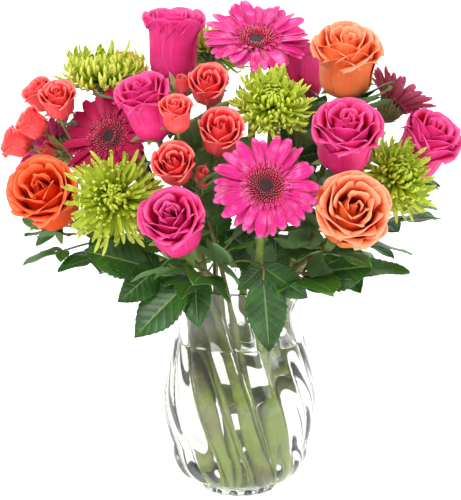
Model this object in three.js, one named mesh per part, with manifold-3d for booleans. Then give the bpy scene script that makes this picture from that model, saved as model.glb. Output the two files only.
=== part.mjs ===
// A bouquet of gerberas, roses, green spider chrysanthemums and spray roses standing in water in a
// swirled, fluted glass vase. Millimetres, +Z up, origin at the centre of the vase's underside,
// front towards -Y.
import * as THREE from "three";
import { ParametricGeometry } from "three/addons/geometries/ParametricGeometry.js";
import { mergeVertices } from "three/addons/utils/BufferGeometryUtils.js";
import Module from "manifold-3d";

const wasm = await Module();
wasm.setup();

// ---------------------------------------------------------------- driving dimensions

const GAP = 0.4; // clearance between pieces that touch

const VASE = {
  height: 195,
  footRadius: 37,
  bellyRadius: 71,
  neckRadius: 57.5,
  rimRadius: 66,
  wall: 4,
  floor: 9,
  flutes: 16,
  fluteDepth: 2,
  floorFillet: 3, // the inside's floor is this much smaller round than its walls
  swirl: THREE.MathUtils.degToRad(62), // turn of the flutes from rim to foot
};
const WATER_LEVEL = 0.72; // share of the vase's height
const NECK_LEVEL = 0.85; // the same for its narrowest place

// radius is half the bloom's width, height runs from the stem to the bloom's top
const KINDS = {
  gerbera: { radius: 50, height: 19, stem: 3.6 },
  rose: { radius: 32, height: 62, stem: 2.8 },
  mum: { radius: 42, height: 44, stem: 2.6 },
  spray: { radius: 18, height: 32, stem: 1.4 },
  bud: { radius: 7.5, height: 18, stem: 1.4 },
};
const SINGLE = new Set(["gerbera", "rose", "mum"]); // kinds with one bloom to a stem
const SPRAY_STEM = 2.3; // radius of a spray's main stem, below its fork
const LEAD = 20; // straight length of stem under a bloom
const TWIG_LEAD = 9; // the same on a spray's twig
const LEAFLET_THICKNESS = 1.3;
const PETIOLE_RADIUS = 1;

const COLOURS = {
  gerbera: "#e6309f",
  darkGerbera: "#b80f66",
  pinkRose: "#ea1f80",
  orangeRose: "#f4622f",
  coralRose: "#f0524c",
  mum: "#a4c72c",
  leaf: "#33601f",
  stem: "#7f9c49",
};

// Places are [x, y, height above the vase's rim].
// Each bloom: kind, the middle of the bloom, the way it faces as [turn, lift] in degrees, its size
// against its kind's, and its colour. Turn 0 faces the front and 90 faces +X; lift 90 faces up.
// cup is how far a gerbera's petals rise from flat, in degrees.
const BLOOMS = {
  gerbera_top: { kind: "gerbera", at: [15, -20, 217], faces: [4, 56], colour: "gerbera", cup: 14 },
  gerbera_front: {
    kind: "gerbera", at: [22, -128, 106], faces: [3, 22],
    size: 0.91, colour: "gerbera", cup: 8,
  },
  gerbera_left: {
    kind: "gerbera", at: [-121, -36, 138], faces: [-30, 26],
    size: 0.94, colour: "darkGerbera", cup: 10,
  },
  gerbera_right_back: {
    kind: "gerbera", at: [140, 24, 159], faces: [115, 48],
    size: 0.86, colour: "darkGerbera", cup: 42,
  },
  gerbera_left_back: {
    kind: "gerbera", at: [-174, 62, 115], faces: [-130, 30],
    size: 0.9, colour: "gerbera", cup: 16,
  },
  rose_pink_top: {
    kind: "rose", at: [-58, 0, 217], faces: [6, 78],
    size: 0.92, colour: "pinkRose", tall: 1.22,
  },
  rose_pink_left: {
    kind: "rose", at: [-78, -92, 167], faces: [-34, 60],
    size: 0.86, colour: "pinkRose", tall: 1.12,
  },
  rose_pink_front: { kind: "rose", at: [-61, -124, 77], faces: [-12, 40], size: 0.92, colour: "pinkRose" },
  rose_pink_right: { kind: "rose", at: [92, -85, 141], faces: [4, 52], size: 1.02, colour: "pinkRose" },
  rose_pink_far_right: {
    kind: "rose", at: [168, -4, 127], faces: [42, 52],
    size: 0.96, colour: "pinkRose", tall: 1.08,
  },
  rose_pink_back: { kind: "rose", at: [58, 62, 189], faces: [168, 58], size: 0.92, colour: "pinkRose" },
  rose_orange_left: {
    kind: "rose", at: [-166, -38, 91], faces: [-16, 32],
    size: 1.08, colour: "orangeRose",
  },
  rose_orange_top: { kind: "rose", at: [93, -20, 204], faces: [2, 62], size: 1.06, colour: "orangeRose" },
  rose_orange_right: { kind: "rose", at: [92, -112, 81], faces: [8, 26], size: 1.1, colour: "orangeRose" },
  rose_orange_back: { kind: "rose", at: [-112, 72, 173], faces: [-158, 48], size: 1, colour: "orangeRose" },
  mum_top_left: { kind: "mum", at: [-124, -4, 191], faces: [-4, 78], size: 1.04, colour: "mum", tall: 1.1 },
  mum_centre: { kind: "mum", at: [24, -68, 179], faces: [2, 46], size: 0.88, colour: "mum" },
  mum_left: { kind: "mum", at: [-104, -104, 93], faces: [-4, 20], size: 1.05, colour: "mum" },
  mum_right: { kind: "mum", at: [140, -60, 111], faces: [34, 30], size: 0.95, colour: "mum" },
  mum_back: { kind: "mum", at: [-28, 62, 215], faces: [176, 66], size: 0.96, colour: "mum" },
  spray_left_1: { kind: "spray", at: [-160, -40, 170], faces: [-4, 48], size: 1.02, colour: "coralRose" },
  spray_left_2: { kind: "spray", at: [-181, 0, 172], faces: [-58, 48], size: 0.92, colour: "coralRose" },
  spray_left_3: { kind: "spray", at: [-186, -24, 148], faces: [-72, 34], size: 0.86, colour: "coralRose" },
  spray_left_4: { kind: "spray", at: [-202, -10, 129], faces: [-84, 16], size: 0.86, colour: "coralRose" },
  spray_centre_1: { kind: "spray", at: [-25, -60, 184], faces: [2, 40], size: 1.1, colour: "coralRose" },
  spray_centre_2: { kind: "spray", at: [-16, -96, 147], faces: [2, 40], size: 1.22, colour: "coralRose" },
  spray_centre_3: { kind: "spray", at: [-55, -112, 124], faces: [-6, 32], size: 1.14, colour: "coralRose" },
  spray_centre_4: {
    kind: "spray", at: [-56, -116, 162], faces: [0, 56],
    size: 0.9, colour: "coralRose", tall: 1.1,
  },
};

// Tight buds, which are one piece with the spray that carries them.
const BUDS = {
  bud_left: { kind: "bud", at: [-172, -10, 123], faces: [-60, 30] },
  bud_centre_1: { kind: "bud", at: [-50, -50, 185], faces: [0, 70] },
  bud_centre_2: { kind: "bud", at: [-32, -104, 111], faces: [8, 62] },
};

// A spray is one branching stem: the blooms and buds it carries and the fork that they leave from.
const SPRAYS = {
  spray_left: {
    carries: ["spray_left_1", "spray_left_2", "spray_left_3", "spray_left_4", "bud_left"],
    fork: [-138, -8, 103],
  },
  spray_centre: {
    carries: [
      "spray_centre_1", "spray_centre_2", "spray_centre_3", "spray_centre_4", "bud_centre_1", "bud_centre_2",
    ],
    fork: [-34, -58, 97],
  },
};

// Each leaf: the base and tip of its end leaflet, the way its upper side faces, the end leaflet's
// width, and the size of its two side leaflets against it. Its stalk grows from a stem nearby.
const LEAVES = {
  leaf_front_left: {
    base: [-46, -78, 13], tip: [-95, -92, -29], faces: [-20, 34],
    width: 42, sides: [0.8, 0.7],
  },
  leaf_left: { base: [-82, -62, 23], tip: [-132, -86, 43], faces: [-10, 30], width: 38, sides: [0.4, 0.8] },
  leaf_front: { base: [20, -78, 19], tip: [26, -96, -43], faces: [4, 22], width: 37, sides: [0.45, 0.75] },
  leaf_right: { base: [66, -50, 19], tip: [116, -68, 31], faces: [10, 32], width: 44, sides: [0.45, 0.4] },
  leaf_inner: { base: [14, -52, 21], tip: [-22, -70, 55], faces: [0, 20], width: 40, sides: [0.7, 0.7] },
  leaf_upper_right: {
    base: [56, -30, 127], tip: [74, -44, 169], faces: [0, 20],
    width: 34, sides: [0.7, 0.7],
  },
  leaf_far_left: {
    base: [-128, -18, 57], tip: [-164, -26, 73], faces: [-20, 40],
    width: 34, sides: [0.7, 0.7],
  },
  leaf_back: { base: [-20, 66, 29], tip: [-52, 104, 1], faces: [170, 34], width: 40, sides: [0.8, 0.8] },
};
const SIDE_LEAFLET = { spread: THREE.MathUtils.degToRad(52), back: 9 };

// ---------------------------------------------------------------- small helpers

const UP = new THREE.Vector3(0, 0, 1);
const aboveRim = ([x, y, z]) => new THREE.Vector3(x, y, VASE.height + z);
const between = (a, b, share) => a + share * (b - a);

// The unit vector of a [turn, lift] pair.
function direction([turn, lift]) {
  const t = THREE.MathUtils.degToRad(turn);
  const l = THREE.MathUtils.degToRad(lift);
  return new THREE.Vector3(Math.sin(t) * Math.cos(l), -Math.cos(t) * Math.cos(l), Math.sin(l));
}

// A closed three.js geometry as a manifold solid, with its faces turned outwards.
function solidOf(geometry, matrix = new THREE.Matrix4()) {
  const plain = geometry.index ? geometry.toNonIndexed() : geometry;
  const bare = new THREE.BufferGeometry().setAttribute("position", plain.getAttribute("position").clone());
  const merged = mergeVertices(bare.applyMatrix4(matrix), 1e-3);
  const vertProperties = merged.attributes.position.array;
  const triVerts = new Uint32Array(merged.index.array);
  const made = new wasm.Manifold(new wasm.Mesh({ numProp: 3, vertProperties, triVerts }));
  if (made.volume() > 0) return made;
  return new wasm.Manifold(new wasm.Mesh({ numProp: 3, vertProperties, triVerts: triVerts.reverse() }));
}

// A manifold solid as a three.js geometry.
function geometryOf(solid) {
  const mesh = solid.getMesh();
  const points = new Float32Array(mesh.numVert * 3);
  for (let i = 0; i < mesh.numVert; i++) {
    points.set(mesh.vertProperties.subarray(i * mesh.numProp, i * mesh.numProp + 3), i * 3);
  }
  const geometry = new THREE.BufferGeometry();
  geometry.setAttribute("position", new THREE.BufferAttribute(points, 3));
  geometry.setIndex(new THREE.BufferAttribute(new Uint32Array(mesh.triVerts), 1));
  geometry.computeVertexNormals();
  return geometry;
}

// A round bar of the given radius along a list of points.
function bar(points, radius, steps, sides = 6) {
  const section = new THREE.Shape();
  for (let i = 0; i < sides; i++) {
    const angle = (i / sides) * 2 * Math.PI;
    const corner = [radius * Math.cos(angle), radius * Math.sin(angle)];
    if (i === 0) section.moveTo(...corner);
    else section.lineTo(...corner);
  }
  const path = new THREE.CatmullRomCurve3(points, false, "centripetal");
  return new THREE.ExtrudeGeometry(section, { steps, bevelEnabled: false, extrudePath: path });
}

// A lathe whose axis is +Z. ripple(step, radius) scales the radius at each step round.
function turned(profile, segments, ripple = () => 1) {
  const geometry = new THREE.LatheGeometry(profile.map(([r, z]) => new THREE.Vector2(r, z)), segments);
  geometry.rotateX(Math.PI / 2);
  const position = geometry.getAttribute("position");
  for (let i = 0; i < position.count; i++) {
    const row = i % profile.length;
    const step = Math.floor(i / profile.length) % segments;
    const scale = ripple(step, profile[row][0]);
    position.setXY(i, position.getX(i) * scale, position.getY(i) * scale);
  }
  return geometry;
}

// ---------------------------------------------------------------- the vase and its water

// Points [radius, height] up the outside of the vase: the foot swells into the belly, which draws in
// to the neck and flares to the rim.
function vaseOutline() {
  const { height, footRadius, bellyRadius, neckRadius, rimRadius } = VASE;
  const knots = [
    [footRadius, 0],
    [between(footRadius, bellyRadius, 0.5), 0.11 * height],
    [between(footRadius, bellyRadius, 0.88), 0.28 * height],
    [bellyRadius, 0.46 * height],
    [between(neckRadius, bellyRadius, 0.42), 0.68 * height],
    [neckRadius, NECK_LEVEL * height],
    [rimRadius, height],
  ];
  const curve = new THREE.SplineCurve(knots.map(([radius, z]) => new THREE.Vector2(radius, z)));
  const perKnot = 8;
  return curve.getPoints(perKnot).map((p) => [p.x, p.y]);
}
const OUTLINE = vaseOutline();

// Radius of the vase's inside at a height.
function innerRadius(z) {
  const top = OUTLINE.at(-1);
  if (z >= top[1]) return top[0] - VASE.wall;
  const above = OUTLINE.findIndex((p) => p[1] > z);
  const [r0, z0] = OUTLINE[Math.max(above - 1, 0)];
  const [r1, z1] = OUTLINE[above];
  const outer = THREE.MathUtils.mapLinear(z, z0, z1, r0, r1);
  return outer - VASE.wall - VASE.fluteDepth;
}

// How deep the flutes are at a height: none at the foot's edge or the rim's lip.
function fluteShare(z) {
  const h = VASE.height;
  return THREE.MathUtils.smoothstep(z, 0, 0.14 * h) * (1 - THREE.MathUtils.smoothstep(z, 0.86 * h, 0.99 * h));
}

// The glass: swirled flutes outside, and a plain round inside.
function vaseGeometry() {
  const levels = OUTLINE.map(([, z]) => z).filter((z) => z > VASE.floor + VASE.floorFillet + 1);
  const inside = levels.map((z) => [innerRadius(z), z]);
  const lip = OUTLINE.at(-1);
  inside[inside.length - 1] = [lip[0] - VASE.wall, lip[1]];
  const floorRadius = innerRadius(VASE.floor) - VASE.floorFillet;
  const profile = [[0, 0], ...OUTLINE, ...inside.reverse(), [floorRadius, VASE.floor], [0, VASE.floor]];
  const perFlute = 2;
  const segments = VASE.flutes * perFlute;
  const geometry = new THREE.LatheGeometry(profile.map(([r, z]) => new THREE.Vector2(r, z)), segments);
  geometry.rotateX(Math.PI / 2);
  const position = geometry.getAttribute("position");
  for (let i = 0; i < position.count; i++) {
    const row = i % profile.length;
    if (row === 0) continue;
    const step = Math.floor(i / profile.length) % segments;
    const [radius, z] = profile[row];
    const isOutside = row <= OUTLINE.length;
    const crease = isOutside && step % perFlute === 0 ? VASE.fluteDepth * fluteShare(z) : 0;
    const swirl = isOutside ? VASE.swirl * (1 - z / VASE.height) : 0;
    const angle = (step / segments) * 2 * Math.PI + swirl;
    position.setXY(i, (radius - crease) * Math.cos(angle), (radius - crease) * Math.sin(angle));
  }
  return geometry;
}

const FACET_SHARE = 0.985; // a faceted round reaches this far where its sides are flat
// The water's outer form, before the stems are cut out of it.
function waterGeometry() {
  const level = WATER_LEVEL * VASE.height;
  const low = VASE.floor + GAP;
  const rows = 4;
  const profile = [[0, low], [innerRadius(VASE.floor) - VASE.floorFillet - 2 * GAP, low]];
  for (let i = 1; i <= rows; i++) {
    const z = THREE.MathUtils.lerp(low, level, i / rows);
    profile.push([innerRadius(z) * FACET_SHARE - 2 * GAP, z]);
  }
  profile.push([0, level]);
  return turned(profile, 20);
}

// ---------------------------------------------------------------- blooms

const SOCKET = 3.4; // radius of a rose's or a chrysanthemum's underside, where it meets the stem

// A rose as a goblet: a rounded base, a belly, a flared lip and a sunken middle, with lobed edges.
function roseGeometry(radius, height, segments = 12) {
  const r = radius;
  const h = height;
  const lobes = (step, from) => (from > 0.5 * r ? 1 - 0.07 * (step % 2) : 1);
  const profile = [[0, 0], [SOCKET, 0], [0.46 * r, 0.1 * h], [0.84 * r, 0.34 * h], [0.9 * r, 0.64 * h],
    [r, 0.86 * h], [0.84 * r, 0.93 * h], [0.42 * r, h], [0, 0.95 * h]];
  return turned(profile, segments, lobes);
}

// A tight bud as a pointed egg.
function budGeometry(radius, height) {
  const r = radius;
  const h = height;
  return turned([[0, 0], [0.5 * r, 0.06 * h], [r, 0.35 * h], [0.8 * r, 0.7 * h], [0.2 * r, h], [0, h]], 8);
}

// A chrysanthemum as a spiky cushion, widest just above its middle.
function mumGeometry(radius, height) {
  const r = radius;
  const h = height;
  const spikes = (step, from) => (from > 0.5 * r ? 1 - 0.14 * (step % 2) : 1);
  const profile = [[0, 0], [SOCKET, 0], [0.3 * r, 0.1 * h], [0.78 * r, 0.3 * h], [r, 0.56 * h],
    [0.8 * r, 0.84 * h], [0.4 * r, h], [0, 0.96 * h]];
  return turned(profile, 16, spikes);
}

// A gerbera: a hairy cup of bracts, a ring of strap petals with notches between their tips, and a
// raised disc. cup is the petals' rise from flat, in degrees.
function gerberaGeometry(radius, height, cup) {
  const rise = THREE.MathUtils.degToRad(cup);
  const cupRadius = 0.3 * radius;
  const length = radius - cupRadius;
  const tip = [cupRadius + length * Math.cos(rise), height + length * Math.sin(rise)];
  const thick = 1.8;
  const petals = 12;
  const notches = (step, from) => (from > 0.6 * radius * Math.cos(rise) ? 1 - 0.12 * (step % 2) : 1);
  const middle = [cupRadius + 0.5 * (tip[0] - cupRadius), height + 0.5 * (tip[1] - height)];
  const profile = [[0, 0], [4, 0], [0.8 * cupRadius, 0.35 * height], [cupRadius, height - thick],
    [middle[0], middle[1] - thick], [tip[0], tip[1] - thick], tip,
    [cupRadius, height + thick], [0, height + 2 * thick]];
  return turned(profile, 2 * petals, notches);
}

// A bloom's own measures: radius and height in millimetres.
function measure(spec) {
  const kind = KINDS[spec.kind];
  const size = spec.size ?? 1;
  return { radius: kind.radius * size, height: kind.height * size * (spec.tall ?? 1) };
}

function bloomGeometry(spec, grow = 0) {
  const { radius, height } = measure(spec);
  const r = radius + grow;
  const h = height + grow;
  if (spec.kind === "gerbera") return gerberaGeometry(r, h, spec.cup);
  if (spec.kind === "mum") return mumGeometry(r, h);
  if (spec.kind === "bud") return budGeometry(r, h);
  return roseGeometry(r, h, spec.kind === "spray" ? 10 : 12);
}

// Where the bloom's underside sits when its middle is at spec.at.
function bloomFoot(spec) {
  const { height } = measure(spec);
  const middle = spec.kind === "gerbera" ? height : 0.55 * height;
  return aboveRim(spec.at).addScaledVector(direction(spec.faces), -middle);
}

// ---------------------------------------------------------------- settling blooms until none touch

const MARGIN = 0.6; // how much larger a piece is made while it is tested against its neighbours
const FINE = 0.06; // detail smaller than this is smoothed away where pieces are joined or cut

function boxesMeet(a, b) {
  return [0, 1, 2].every((k) => a.min[k] < b.max[k] && b.min[k] < a.max[k]);
}

const middleOf = ({ min, max }) => new THREE.Vector3(...min).lerp(new THREE.Vector3(...max), 0.5);
const centreOf = (solid) => middleOf(solid.boundingBox());

// The box of what two solids share, or null.
function shared(a, b) {
  if (!boxesMeet(a.boundingBox(), b.boundingBox())) return null;
  const common = a.intersect(b);
  const found = common.volume() > 1e-3 ? common.boundingBox() : null;
  common.delete();
  return found;
}

function thinnest(box) {
  return Math.min(...[0, 1, 2].map((k) => box.max[k] - box.min[k]));
}

const poseOf = (foot, turn) => new THREE.Matrix4().compose(foot, turn, new THREE.Vector3(1, 1, 1));
const leadOf = (spec) => (SINGLE.has(spec.kind) ? LEAD : TWIG_LEAD);

function placeBloom([name, spec]) {
  const turn = new THREE.Quaternion().setFromUnitVectors(UP, direction(spec.faces));
  const foot = bloomFoot(spec);
  const below = [new THREE.Vector3(0, 0, -leadOf(spec)), new THREE.Vector3(0, 0, 1)];
  const lead = solidOf(bar(below, KINDS[spec.kind].stem + MARGIN, 1), poseOf(foot, turn));
  return { name, spec, turn, foot, test: solidOf(bloomGeometry(spec, MARGIN), poseOf(foot, turn)), lead };
}

function moveBloom(bloom, by) {
  for (const part of ["test", "lead"]) {
    const moved = bloom[part].translate([by.x, by.y, by.z]);
    bloom[part].delete();
    bloom[part] = moved;
  }
  bloom.foot.add(by);
}

// The box of what two blooms share, or of what one shares with the other's straight length of stem.
function bloomsMeet(a, b) {
  return shared(a.test, b.test) ?? shared(a.test, b.lead) ?? shared(a.lead, b.test) ?? shared(a.lead, b.lead);
}

const SETTLE = {
  rounds: 90,
  depthBias: 2.2, // how much readier blooms are to move towards or away from the front
  push: 0.25, // least move of a bloom that touches another
  share: 0.3, // share of their overlap that it moves besides
  lift: 1.5, // how far it rises off the vase at a time
};

// Pushes blooms apart, mostly towards and away from the front, until none touch.
function settleBlooms(blooms, obstacles) {
  for (let round = 0; round < SETTLE.rounds; round++) {
    let meetings = 0;
    for (let i = 0; i < blooms.length; i++) {
      for (let j = i + 1; j < blooms.length; j++) {
        const box = bloomsMeet(blooms[i], blooms[j]);
        if (!box) continue;
        meetings += 1;
        const apart = centreOf(blooms[i].test).sub(centreOf(blooms[j].test));
        apart.y *= SETTLE.depthBias;
        apart.normalize().multiplyScalar(SETTLE.push + SETTLE.share * thinnest(box));
        moveBloom(blooms[i], apart);
        moveBloom(blooms[j], apart.clone().negate());
      }
      for (const obstacle of obstacles) {
        if (!shared(blooms[i].test, obstacle)) continue;
        meetings += 1;
        moveBloom(blooms[i], new THREE.Vector3(0, 0, SETTLE.lift));
      }
    }
    if (!meetings) return;
  }
  throw new Error("the blooms did not settle");
}

// ---------------------------------------------------------------- routing stems

const STEM = {
  level: 34, // height between a stem's points
  overRim: 7, // its point at the vase's mouth is this far above the rim
  cross: THREE.MathUtils.degToRad(90), // turn round the vase from its bloom's side to its foot
  neckStart: 0.22, // how far out it passes the neck when its bloom is over the middle
  neckReach: 220, // its bloom's distance out that adds a whole neck to that
  neckFill: 0.8, // share of the neck's radius that stems start in
  footNear: 0.5, // share of the floor's radius nearest to the middle that a foot stands at
  footSpread: 0.4, // how much further out the others stand
  spacing: 1.2, // room between two stems, besides the clearance
  wallRoom: 3.4, // room between a stem and the glass
  bend: 1.35, // a bent bar's corners reach this many radii out
};
const GOLDEN_SHARE = 0.618;

// Each stem is a list of points, one at each level from the vase's floor to its bloom. order counts
// the stems before it, and spreads their feet over the floor.
function startStem(name, top, towards, radius, order) {
  const collar = top.clone().addScaledVector(towards, -LEAD);
  const rim = VASE.height + STEM.overRim;
  const heights = [VASE.floor + 1 + 0.5 * radius];
  for (let z = VASE.floor + STEM.level; z < rim - 12; z += STEM.level) heights.push(z);
  heights.push(rim);
  for (let z = rim + STEM.level; z < collar.z - 8; z += STEM.level) heights.push(z);
  const out = Math.atan2(collar.y, collar.x);
  const reach = Math.hypot(collar.x, collar.y);
  const neckShare = Math.min(1, STEM.neckStart + reach / STEM.neckReach);
  const neck = neckShare * STEM.neckFill * innerRadius(VASE.height * NECK_LEVEL);
  const foot = innerRadius(VASE.floor) * (STEM.footNear + STEM.footSpread * ((order * GOLDEN_SHARE) % 1));
  const points = heights.map((z) => {
    const inVase = Math.min(1, (z - VASE.floor) / (rim - VASE.floor));
    const low = new THREE.Vector3(foot * Math.cos(out + STEM.cross), foot * Math.sin(out + STEM.cross), z);
    const mouth = new THREE.Vector3(neck * Math.cos(out), neck * Math.sin(out), z);
    if (z <= rim) return low.lerp(mouth, inVase);
    const share = (z - rim) / Math.max(collar.z - rim, 1);
    return mouth.lerp(new THREE.Vector3(collar.x, collar.y, z), share);
  });
  return { name, radius, points, fixed: [collar, top.clone()] };
}

const allPoints = (stem) => [...stem.points, ...stem.fixed];

// Closest points of two segments, as shares along each.
function closest(p1, q1, p2, q2) {
  const d1 = q1.clone().sub(p1);
  const d2 = q2.clone().sub(p2);
  const r = p1.clone().sub(p2);
  const a = d1.dot(d1);
  const e = d2.dot(d2);
  const b = d1.dot(d2);
  const c = d1.dot(r);
  const f = d2.dot(r);
  const clamp = (x) => THREE.MathUtils.clamp(x, 0, 1);
  const under = a * e - b * b;
  let s = under > 1e-9 ? clamp((b * f - c * e) / under) : 0;
  const t = clamp((b * s + f) / e);
  s = clamp((b * t - c) / a);
  return [s, t];
}

// Shares a push between the two ends of a segment. Points from the collar up stay where they are.
function nudge(stem, index, share, push) {
  for (const [at, weight] of [[index, 1 - share], [index + 1, share]]) {
    if (at >= stem.points.length) continue;
    stem.points[at].x += push.x * weight;
    stem.points[at].y += push.y * weight;
  }
}

// Draws a stem's points in from the glass.
function keepInVase(stem) {
  for (const p of stem.points) {
    if (p.z > VASE.height + 10) continue;
    const most = innerRadius(Math.min(p.z, VASE.height * 0.97)) - STEM.bend * stem.radius - STEM.wallRoom;
    const reach = Math.hypot(p.x, p.y);
    if (reach > most) {
      p.x *= most / reach;
      p.y *= most / reach;
    }
  }
}

// Evens out each stem's bends and pushes apart the stems that are too near each other.
function relaxStems(stems, rounds, stiffness = 0.12) {
  for (let round = 0; round < rounds; round++) {
    let meetings = 0;
    for (const stem of stems) {
      const all = allPoints(stem);
      for (let k = 1; k < stem.points.length; k++) {
        const before = all[k - 1];
        const after = all[k + 1];
        const share = (all[k].z - before.z) / Math.max(after.z - before.z, 1);
        all[k].x += stiffness * (THREE.MathUtils.lerp(before.x, after.x, share) - all[k].x);
        all[k].y += stiffness * (THREE.MathUtils.lerp(before.y, after.y, share) - all[k].y);
      }
    }
    for (let i = 0; i < stems.length; i++) {
      for (let j = i + 1; j < stems.length; j++) {
        const a = allPoints(stems[i]);
        const b = allPoints(stems[j]);
        const least = stems[i].radius + stems[j].radius + GAP + STEM.spacing;
        for (let k = 0; k + 1 < a.length; k++) {
          for (let m = 0; m + 1 < b.length; m++) {
            if (a[k].z > b[m + 1].z + least || b[m].z > a[k + 1].z + least) continue;
            const [s, t] = closest(a[k], a[k + 1], b[m], b[m + 1]);
            const pa = a[k].clone().lerp(a[k + 1], s);
            const pb = b[m].clone().lerp(b[m + 1], t);
            const away = pa.clone().sub(pb);
            const distance = away.length();
            if (distance >= least) continue;
            meetings += 1;
            away.z = 0;
            if (away.length() < 0.05) away.set(Math.cos(i + 2 * j), Math.sin(i + 2 * j), 0);
            away.normalize().multiplyScalar(0.55 * (least - distance));
            nudge(stems[i], k, s, away);
            nudge(stems[j], m, t, away.negate());
          }
        }
      }
    }
    stems.forEach(keepInVase);
    if (!meetings && round > 20) return;
  }
}

function stemSolid(stem, grow = 0) {
  const points = allPoints(stem);
  return solidOf(bar(points, stem.radius + grow, points.length + 1));
}

// Bends stems round the blooms that stand in their way, then evens them out again.
function routeStems(stems, blooms, rounds = 60) {
  relaxStems(stems, 200);
  for (let round = 0; round < rounds; round++) {
    let meetings = 0;
    for (const stem of stems) {
      const test = stemSolid(stem, MARGIN);
      for (const bloom of blooms) {
        if (stem.owns.includes(bloom.name)) continue;
        const box = shared(test, bloom.test);
        if (!box) continue;
        meetings += 1;
        const middle = (box.min[2] + box.max[2]) / 2;
        const from = centreOf(bloom.test);
        const spot = new THREE.Vector3((box.min[0] + box.max[0]) / 2, (box.min[1] + box.max[1]) / 2, from.z);
        const away = spot.sub(from).normalize();
        const inward = new THREE.Vector3(-from.x, -from.y, 0).normalize();
        away.addScaledVector(inward, 0.5).normalize();
        for (const p of stem.points) {
          const near = 1 - Math.abs(p.z - middle) / (1.6 * STEM.level);
          if (near > 0) p.addScaledVector(away, 3 * near);
        }
      }
      test.delete();
    }
    relaxStems(stems, 25, 0.05);
    if (!meetings && !stemsTouch(stems)) return;
  }
  throw new Error("the stems found no way past the blooms");
}

function stemsTouch(stems) {
  const tests = stems.map((stem) => stemSolid(stem, 0.15));
  const touch = tests.some((a, i) => tests.slice(i + 1).some((b) => shared(a, b)));
  tests.forEach((t) => t.delete());
  return touch;
}

// ---------------------------------------------------------------- leaves

// One leaflet as a flattened tube from base to tip: a lens across, arched along.
function leafletSolid(base, tip, face, width) {
  const along = tip.clone().sub(base);
  const length = along.length();
  along.normalize();
  const across = new THREE.Vector3().crossVectors(along, face).normalize();
  const normal = new THREE.Vector3().crossVectors(across, along).normalize();
  const shape = (u, v, target) => {
    const half = 0.5 * width * Math.sin(Math.PI * v ** 0.82) ** 0.8;
    const angle = 2 * Math.PI * u;
    const x = half * Math.cos(angle);
    const open = v <= 0 || v >= 1 ? 0 : 1;
    const z = 0.5 * LEAFLET_THICKNESS * open * Math.sin(angle) + 0.16 * Math.abs(x) - 0.12 * length * v * v;
    target.copy(base).addScaledVector(along, length * v);
    target.addScaledVector(across, open * x).addScaledVector(normal, z);
  };
  return solidOf(new ParametricGeometry(shape, 6, 4));
}

// A leaf's own frame: the base and tip of its end leaflet, its directions, and the fork that the
// side leaflets leave from.
function leafFrame(spec, shift) {
  const base = aboveRim(spec.base).add(shift);
  const tip = aboveRim(spec.tip).add(shift);
  const along = tip.clone().sub(base).normalize();
  const across = new THREE.Vector3().crossVectors(along, direction(spec.faces)).normalize();
  const normal = new THREE.Vector3().crossVectors(across, along).normalize();
  const fork = base.clone().addScaledVector(along, -SIDE_LEAFLET.back);
  return { base, tip, along, normal, fork, length: tip.distanceTo(base) };
}

// The three leaflets of a leaf and the rib that joins them.
function bladeSolid(spec, frame) {
  const { base, tip, along, normal, fork, length } = frame;
  const rib = [fork, base.clone().addScaledVector(along, 2)];
  let solid = solidOf(bar(rib, PETIOLE_RADIUS, 1, 4)).add(leafletSolid(base, tip, normal, spec.width));
  for (const [i, size] of spec.sides.entries()) {
    const turn = i === 0 ? -SIDE_LEAFLET.spread : SIDE_LEAFLET.spread;
    const way = along.clone().applyAxisAngle(normal, turn);
    const from = fork.clone().addScaledVector(way, -0.5);
    const to = fork.clone().addScaledVector(way, size * length);
    solid = solid.add(leafletSolid(from, to, normal, size * spec.width));
  }
  return solid;
}

// The stalk from a place on a stem to the fork of the leaf.
function stalkSolid(joint, frame) {
  const outwards = frame.fork.clone().sub(joint.at).normalize();
  const start = joint.at.clone().addScaledVector(outwards, joint.radius + 2 * GAP);
  const run = frame.fork.distanceTo(start);
  const bow = start.clone().lerp(frame.fork, 0.5).add(new THREE.Vector3(0, 0, 0.1 * run));
  const end = frame.fork.clone().addScaledVector(frame.along, 2);
  return solidOf(bar([start, bow, frame.fork, end], PETIOLE_RADIUS, 5, 4));
}

// Places on the leafy stems above the rim, nearest to a point first.
function jointsNear(point, stems, most = 24) {
  const joints = [];
  for (const stem of stems) {
    const all = allPoints(stem);
    for (let k = 0; k + 1 < all.length; k++) {
      for (const share of [0, 0.5]) {
        const at = all[k].clone().lerp(all[k + 1], share);
        if (at.z > VASE.height + 10) joints.push({ at, radius: stem.radius });
      }
    }
  }
  return joints.sort((a, b) => a.at.distanceTo(point) - b.at.distanceTo(point)).slice(0, most);
}

// Shifts to try for a leaf, nearest first: a move towards the front or back counts for less.
function leafShifts(step = 4, reach = 5) {
  const shifts = [];
  for (let x = -reach; x <= reach; x++) {
    for (let y = -reach; y <= reach; y++) {
      for (let z = -reach; z <= reach; z++) shifts.push(new THREE.Vector3(x, y, z).multiplyScalar(step));
    }
  }
  const cost = (v) => Math.hypot(v.x, 0.5 * v.y, v.z);
  return shifts.sort((a, b) => cost(a) - cost(b));
}

// A leaf in the nearest free place, on the nearest stem that its stalk has a clear way to.
function placeLeaf([name, spec], stems, taken) {
  const isFree = (solid) => !taken.some((other) => shared(solid, other));
  for (const shift of leafShifts()) {
    const frame = leafFrame(spec, shift);
    const blade = bladeSolid(spec, frame);
    if (!isFree(blade)) continue;
    for (const joint of jointsNear(frame.fork, stems)) {
      const stalk = stalkSolid(joint, frame);
      if (isFree(stalk)) return { name, shift, solid: blade.add(stalk).simplify(FINE) };
    }
  }
  throw new Error(name + " found no free place");
}

// ---------------------------------------------------------------- putting it together

const bouquet = new THREE.Group();

function material(colour, roughness, extra = {}) {
  return new THREE.MeshStandardMaterial({ color: colour, roughness, metalness: 0, ...extra });
}

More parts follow.
